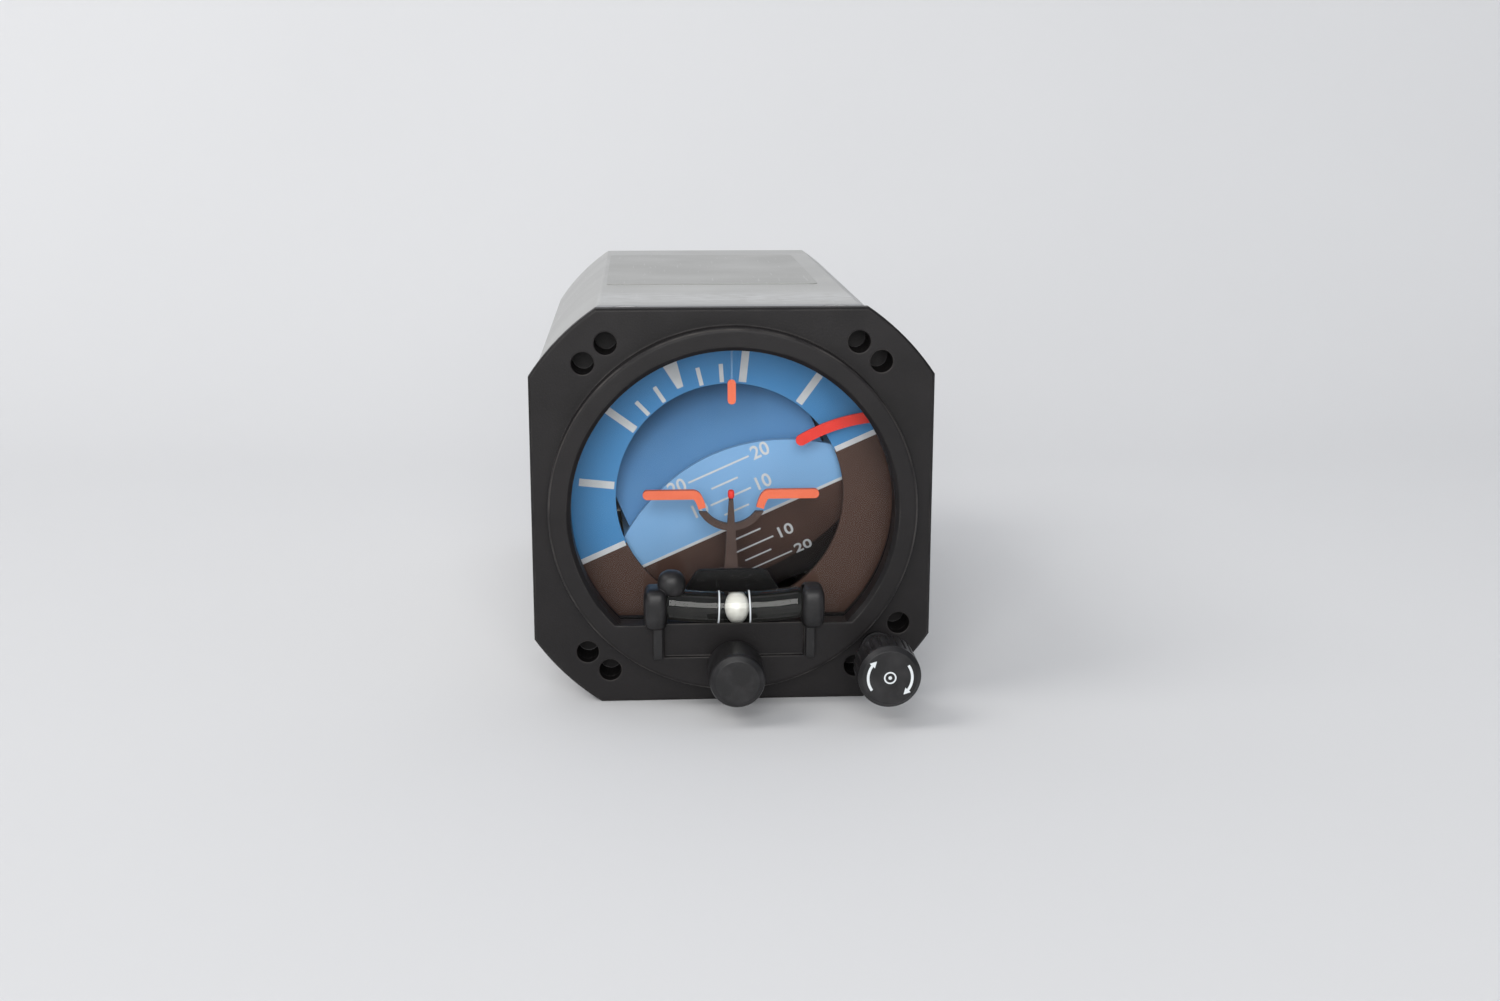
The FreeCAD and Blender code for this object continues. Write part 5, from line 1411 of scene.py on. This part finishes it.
@dataclass
class SlipIndicator:
    """The curved tube of oil with its ball, two rings and the black end caps.

    A cap, leg or filler holds the limits of its X on the right, its Y and its Z, and how far it
    is from a box, as rounded_block takes it.
    """

    tube_y: float = -3.9
    tube_z: float = -20.7
    bend_r: float = 105.0
    tube_r: float = 3.4
    half_length: float = 16.68
    end_steps: int = 10
    steps: int = 60
    sides: int = 64
    lacquer_r: tuple[float, float] = (3.05, 2.93)
    lacquer_half: float = 14.48
    lacquer_arc: tuple[float, float] = (2.0, 178.0)
    lacquer_steps: int = 24
    cap: tuple[Any, ...] = ((14.2, 19.3), (-8.2, 0.3), (-25.0, -15.9), 0.5)
    leg: tuple[Any, ...] = ((15.3, 17.3), (-6.2, -4.5), (-31.6, -23.6), 0.2)
    filler: tuple[Any, ...] = ((10.3, 16.3), (-7.0, -1.5), (-18.3, -12.3), 0.85)
    bore_gap: float = 0.02
    ring_x: float = 3.3
    ring_w: float = 0.32
    ring_r: tuple[float, float] = (3.41, 3.5)

    def bent(self, name: str, s: Any, radius: Any, turn: Any, capped: bool) -> bpy.types.Object:
        """Carry a ring of points along the tube's centre line.

        The centre line is an arc of the bend's radius in the XZ plane that rises to both sides.
        A point lies at its radius from it, at its angle from straight down towards the back.

        Args:
            name: name of the piece.
            s: place along the centre line, as a column.
            radius: distance from it.
            turn: angle round it in radians.
            capped: whether the ends get faces.

        Returns:
            The object.
        """
        along = np.asarray(s) / self.bend_r
        reach = self.bend_r + radius * np.cos(turn)
        x, z = reach * np.sin(along), self.tube_z + self.bend_r - reach * np.cos(along)
        y = np.broadcast_to(self.tube_y + radius * np.sin(turn), x.shape)
        return skin(name, np.stack([x, y, z], -1), capped)

    def tube(self) -> bpy.types.Object:
        """Make a solid rod bent to the arc, its ends rounded as quarter circles.

        Returns:
            The rod.
        """
        rise = np.linspace(0, np.pi / 2, self.end_steps)
        end = self.half_length - self.tube_r * (1 - np.cos(rise))
        straight = np.linspace(-1, 1, self.steps)[1:-1] * (self.half_length - self.tube_r)
        s = np.concatenate([-end, straight, end[::-1]])[:, None]
        size = np.concatenate([np.sin(rise), np.ones(self.steps - 2), np.sin(rise)[::-1]])
        turn = full_turn(self.sides)
        piece = self.bent("slip_tube_glass", s, size[:, None] * self.tube_r, turn, False)
        shade_smooth(piece, 60)
        return piece

    def rings(self) -> bpy.types.Object:
        """Print two rings round the tube: a small rectangle carried round its centre line.

        Returns:
            The rings as one piece.
        """
        low, high = self.ring_r
        radius = np.array([low, high, high, low, low])[:, None]
        offset = np.array([-1, -1, 1, 1, -1])[:, None] * self.ring_w / 2
        turn = full_turn(self.sides)
        parts = [
            self.bent("ring", side.value * self.ring_x + offset, radius, turn, False)
            for side in Side
        ]
        return joined("tube_marks", parts)

    def lacquer(self) -> bpy.types.Object:
        """Brush black lacquer on the back of the bore: a half-round gutter along the arc.

        Returns:
            The gutter.
        """
        half = np.radians(np.linspace(*self.lacquer_arc, self.lacquer_steps))
        turn = np.concatenate([half, half[::-1]])[None]
        radius = np.repeat(self.lacquer_r, self.lacquer_steps)[None]
        s = np.linspace(-1, 1, self.steps)[:, None] * self.lacquer_half
        # The gutter is partly painted shade: a black sheet that darkens the tube's back.
        return self.bent("slip_tube_lacquer", s, radius, turn, True)

    def bore(self) -> bpy.types.Object:
        """Make the rod that leaves room for the tube's ends in the caps.

        Returns:
            The rod, a little larger than the tube.
        """
        s = np.linspace(-1, 1, self.steps)[:, None] * (self.half_length + self.bore_gap)
        turn = full_turn(self.sides)
        return self.bent("bore", s, self.tube_r + self.bore_gap, turn, True)

    def caps(self) -> bpy.types.Object:
        """Make the rounded end caps on slim legs, and the round filler plug on the left one.

        Returns:
            The caps as one piece, bored out where the tube's ends sit.
        """
        parts = []
        wanted = [(side, form) for side in Side for form in (self.cap, self.leg)]
        for side, (x, y, z, square) in [*wanted, (Side.LEFT, self.filler)]:
            x0, x1 = sorted(side.value * value for value in x)
            block = rounded_block("cap", (x0, y[0], z[0]), (x1, y[1], z[1]), square)
            parts.append(cut(block, self.bore()))
            shade_smooth(parts[-1], 50)
        return joined("tube_end_caps", parts)

    def build(self) -> None:
        """Build the tube, its rings, lacquer and caps, and dress the ball."""
        dress(CERAMIC, "slip_ball")
        place(self.tube(), "root", OIL_TUBE, "slip_tube")
        place(self.rings(), "root", WHITE_INK, "tube_lines")
        place(self.lacquer(), "root", BLACK_LACQUER_AND_SHADE)
        place(self.caps(), "root", PHENOLIC, "slip_caps")


@dataclass
class AircraftSymbol:
    """The orange wings on their arc and mast, and the knob, rack and post that move them."""

    wing_z: float = 1.45
    tip_x: float = 19.2
    bend_x: float = 8.2
    corner_x: float = 7.1
    root: tuple[float, float] = (6.3, -1.6)
    bar: float = 2.0
    root_bar: float = 1.64
    pip_half: tuple[float, float] = (0.72, 1.0)
    face_y: float = 7.0
    bar_t: float = 1.4
    bar_edge: float = 0.3
    pip_square: float = 0.7
    tip_least: float = 0.002
    tip_steps: int = 7
    bend_steps: int = 9

    def wing(self, side: Side) -> bpy.types.Object:
        """Make one wing: a bar along a straight line, a soft bend and a slanting root.

        The bend is a parabola whose end tangents are the line and the root. The tip's width
        falls as a half circle.

        Args:
            side: which wing.

        Returns:
            The wing.
        """
        share = np.linspace(0, 1, self.tip_steps)
        tip = np.column_stack([self.tip_x - self.bar / 2 * share, 0 * share + self.wing_z])
        t = np.linspace(0, 1, self.bend_steps)[:, None]
        start, corner = np.array([[self.bend_x, self.wing_z], [self.corner_x, self.wing_z]])
        bend = (1 - t) ** 2 * start + 2 * t * (1 - t) * corner + t**2 * np.array(self.root)
        tip_w = self.bar * np.sqrt(np.clip(1 - (1 - share) ** 2, self.tip_least, 1))
        bend_w = np.linspace(self.bar, self.root_bar, self.bend_steps)
        path = np.concatenate([tip, bend]) * [side.value, 1]
        outline = ribbon(path, np.concatenate([tip_w, bend_w]))
        return plate("wing", outline, self.face_y, self.face_y + self.bar_t)

    def pip(self) -> bpy.types.Object:
        """Make the nose of the aircraft, a small rounded block.

        Returns:
            The block.
        """
        low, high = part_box("airplane_pip")
        half_x, half_z = self.pip_half
        corners = [
            (sign * half_x, y / MM, self.wing_z + sign * half_z)
            for sign, y in ((-1, low.y), (1, high.y))
        ]
        return rounded_block("aircraft_pip", *corners, self.pip_square)

    def build(self) -> None:
        """Build the wings and the nose, and dress what carries and moves them."""
        wings = joined("aircraft_wings", [self.wing(side) for side in Side])
        round_edges(wings, self.bar_edge)
        shade_smooth(wings, 35)
        place(wings, "symbol", ORANGE, "airplane_wings")
        place(self.pip(), "symbol", RED, "airplane_pip")
        dress(UMBER, "airplane_mount")
        # Post and keeper are near black as painted shade of the window's dark bottom.
        dress(BLACK_LACQUER_AND_SHADE, "symbol_pedestal", "slider_keeper")
        dress(PHENOLIC, "adjust_knob", "knob_bushings")
        dress(STEEL, "adjust_pinion")
        dress(NYLON, "symbol_rack")


@dataclass
class CagingGear:
    """The caging knob with the marks on its face, and the rod, arm and spring behind it."""

    x: float = 31.43
    z: float = -31.43
    face_y: float = -21.5
    mark_t: float = 0.02
    arrow_r: float = 4.6
    arrow_w: float = 0.55
    head_w: float = 1.5
    head_share: float = 0.24
    heel_share: float = 0.02
    point_w: float = 0.02
    arrows: tuple[tuple[float, float], ...] = ((215.0, 145.0), (35.0, -35.0))
    ring_r: tuple[float, float] = (0.99, 1.31)
    dot_r: float = 0.38
    steps: int = 20
    travel: float = 8.0
    coil_r: float = 2.35
    wire_r: float = 0.3
    coils: int = 9
    coil_steps: int = 28
    wire_sides: int = 10

    def faces(self) -> tuple[float, float]:
        """Y of the front and the back of a printed mark."""
        return self.face_y - self.mark_t, self.face_y + self.mark_t / 2

    def ring(self, inner: float, outer: float) -> bpy.types.Object:
        """Print a flat ring: a rectangle carried round the knob's axis.

        Args:
            inner: its inner radius, 0 for a dot.
            outer: its outer radius.

        Returns:
            The ring.
        """
        y0, y1 = self.faces()
        profile = [(inner, y0), (outer, y0), (outer, y1), (inner, y1), (inner, y0)]
        return moved(lathe("ring", profile[: 5 if inner else 4]), (self.x, 0, self.z))

    def arrow(self, start: float, end: float) -> bpy.types.Object:
        """Print an arrow along an arc: an even bar, then a head that narrows to its point.

        Args:
            start: angle of its tail in degrees.
            end: angle where its head starts.

        Returns:
            The arrow.
        """
        point = end + (end - start) * self.head_share
        shaft = arc(self.arrow_r, start, end, self.steps)
        heel = shaft[-1] + (shaft[-1] - shaft[-2]) * self.heel_share
        path = np.concatenate([shaft, [heel], arc(self.arrow_r, point, point, 1)])
        head = [self.head_w, self.point_w]
        widths = np.concatenate([np.full(self.steps, self.arrow_w), head])
        return plate("arrow", ribbon(path, widths) + [self.x, self.z], *self.faces())

    def spring(self) -> None:
        """Wind the return spring: a wire's circle carried along a helix about the rod.

        The wire's circle lies in the plane of the axis and the radius, which for so flat a
        helix is nearly square to it. The real spring is pressed together as the knob is pulled;
        this coil keeps its resting length.
        """
        low, high = (corner.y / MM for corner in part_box("cage_spring"))
        turn = np.linspace(0, 2 * np.pi * self.coils, self.coils * self.coil_steps)[:, None]
        middle = np.linspace(low + self.wire_r, high - self.wire_r, len(turn))[:, None]
        wire = full_turn(self.wire_sides)
        reach = self.coil_r + self.wire_r * np.cos(wire)
        x, z = self.x + reach * np.cos(turn), self.z + reach * np.sin(turn)
        y = middle + self.wire_r * np.sin(wire)
        coil = skin("return_spring", np.stack([x, y, z], -1), True)
        shade_smooth(coil, 60)
        place(coil, "root", STEEL, "cage_spring")
        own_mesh(coil)

    def build(self) -> None:
        """Dress the gear, wind its spring and print the marks on the knob's face."""
        dress(PHENOLIC, "cage_knob")
        dress(MACHINED, "cage_arm")
        dress(STEEL, "cage_rod", "heart_cam")
        self.spring()
        marks = [self.ring(*self.ring_r), self.ring(0, self.dot_r)]
        marks += [self.arrow(start, end) for start, end in self.arrows]
        place(joined("cage_knob_marks", marks), "cage_plunger", WHITE_INK)


@dataclass
class GyroMechanism:
    """The gimbals, the rotor in its housing and the gears that turn the drum."""

    def build(self) -> None:
        """Dress the castings, shafts, gears and windings."""
        dress(CASTING, "roll_gimbal", "upper_housing", "lower_housing", "bearing_bulkhead")
        dress(STEEL, "roll_bearings", "roll_shaft", "pitch_bearings", "pitch_pivots")
        dress(STEEL, "idler_studs", "rotor_bearings", "drum_sleeves", "erector_wheel")
        dress(BRASS, "gyro_gear", "drum_gear", "lower_idler", "upper_idler")
        dress(BRONZE, "rotor")
        dress(COPPER, "stator")


@dataclass
class Electrics:
    """The power board and its parts, and the rings and brushes that feed the gyro."""

    def build(self) -> None:
        """Dress the board, its parts, the slip rings and the brush block."""
        dress(BOARD, "power_board")
        dress(NYLON, "board_parts", "brush_block")
        dress(BRASS, "slip_rings")


@dataclass
class Studio:
    """Pale sweep, soft lamps and the camera.

    A lamp's row holds its name, its place, its side, its watts and its colour. The camera looks
    along +Y, turned to the right by its yaw and down by its pitch.
    """

    floor_z: float = -42.86
    sweep_start: float = 260.0
    sweep_r: float = 420.0
    half_width: float = 7000.0
    front: float = -9000.0
    wall_top: float = 2200.0
    aim_y: float = 60.0
    lamps: tuple[tuple[Any, ...], ...] = (
        ("key", (-1100, -250, 1200), 800, 7.6, "#fffdfa"),
        ("top", (-100, 300, 1700), 1500, 4.0, "#ffffff"),
        ("front", (-150, -1500, 650), 1100, 20.5, "#fffefc"),
    )
    sky: str = "#dfe5ee"
    sky_strength: float = 0.44
    camera_place: tuple[float, float, float] = (-19.7, -373.3, 86.6)
    camera_yaw: float = 3.58
    camera_pitch: float = 12.79
    camera_roll: float = 0.09
    lens: float = 43.13
    sensor_w: float = 36.0
    nearest: float = 10.0
    sweep_steps: int = 24

    def sweep(self) -> None:
        """Make the floor that curves up into a wall: a line, a quarter circle and a line."""
        bend = arc(self.sweep_r, -90, 0, self.sweep_steps)
        bend += [self.sweep_start, self.floor_z + self.sweep_r]
        start = [[self.front, self.floor_z]]
        top = [[self.sweep_start + self.sweep_r, self.wall_top]]
        profile = np.concatenate([start, bend, top])
        sides = [
            np.column_stack([np.full(len(profile), x), profile])
            for x in (-self.half_width, self.half_width)
        ]
        points = np.stack(sides, 1).reshape(-1, 3) * MM
        mesh = bpy.data.meshes.new("sweep")
        mesh.from_pydata(points.tolist(), [], grid_faces(len(profile), 2, False).tolist())
        mesh.polygons.foreach_set("use_smooth", [True] * len(mesh.polygons))
        mesh.materials.append(PAPER.material())
        link("sweep", mesh)

    def lamp(
        self, name: str, spot: tuple[float, float, float], size: float, power: float, colour: str
    ) -> None:
        """Hang a soft square lamp aimed at the object.

        Args:
            name: name of the lamp.
            spot: its place in millimetres.
            size: side of the square in millimetres.
            power: watts.
            colour: hex colour of its light.
        """
        light = bpy.data.lights.new(name, "AREA")
        light.size = size * MM
        light.energy = power
        light.color = linear(colour)[:3]
        holder = bpy.data.objects.new(name, light)
        holder.location = Vector(spot) * MM
        aim = Vector((0, self.aim_y, 0)) * MM - holder.location
        holder.rotation_euler = aim.to_track_quat("-Z", "Y").to_euler()
        bpy.context.scene.collection.objects.link(holder)

    def camera(self) -> None:
        """Set the camera at its viewing angle."""
        data = bpy.data.cameras.new("camera")
        data.lens = self.lens
        data.sensor_width = self.sensor_w
        data.clip_start = self.nearest * MM
        holder = bpy.data.objects.new("camera", data)
        bpy.context.scene.collection.objects.link(holder)
        yaw = Matrix.Rotation(-math.radians(self.camera_yaw), 4, "Z")
        tilt = Matrix.Rotation(math.radians(90 - self.camera_pitch), 4, "X")
        roll = Matrix.Rotation(math.radians(self.camera_roll), 4, "Z")
        spot = Matrix.Translation(Vector(self.camera_place) * MM)
        holder.matrix_world = spot @ yaw @ tilt @ roll
        bpy.context.scene.camera = holder

    def build(self) -> None:
        """Set the sweep, the lamps, the sky and the camera."""
        self.sweep()
        for row in self.lamps:
            self.lamp(*row)
        world = bpy.data.worlds.new("studio")
        world.use_nodes = True
        background = world.node_tree.nodes["Background"]
        background.inputs["Color"].default_value = linear(self.sky)
        background.inputs["Strength"].default_value = self.sky_strength
        bpy.context.scene.world = world
        bpy.context.scene.view_settings.view_transform = "Standard"
        self.camera()


def main() -> None:
    """Build and dress the attitude indicator, then the studio round it."""
    logging.basicConfig(level=logging.INFO, format="%(name)s: %(message)s")
    assemblies = (
        Bezel,
        CaseBody,
        Background,
        RollDial,
        PitchDrum,
        AircraftSymbol,
        SlipIndicator,
        CagingGear,
        GyroMechanism,
        Electrics,
        Studio,
    )
    for assembly in assemblies:
        LOG.info("building %s", assembly.__name__)
        assembly().build()


if __name__ == "__main__":
    main()
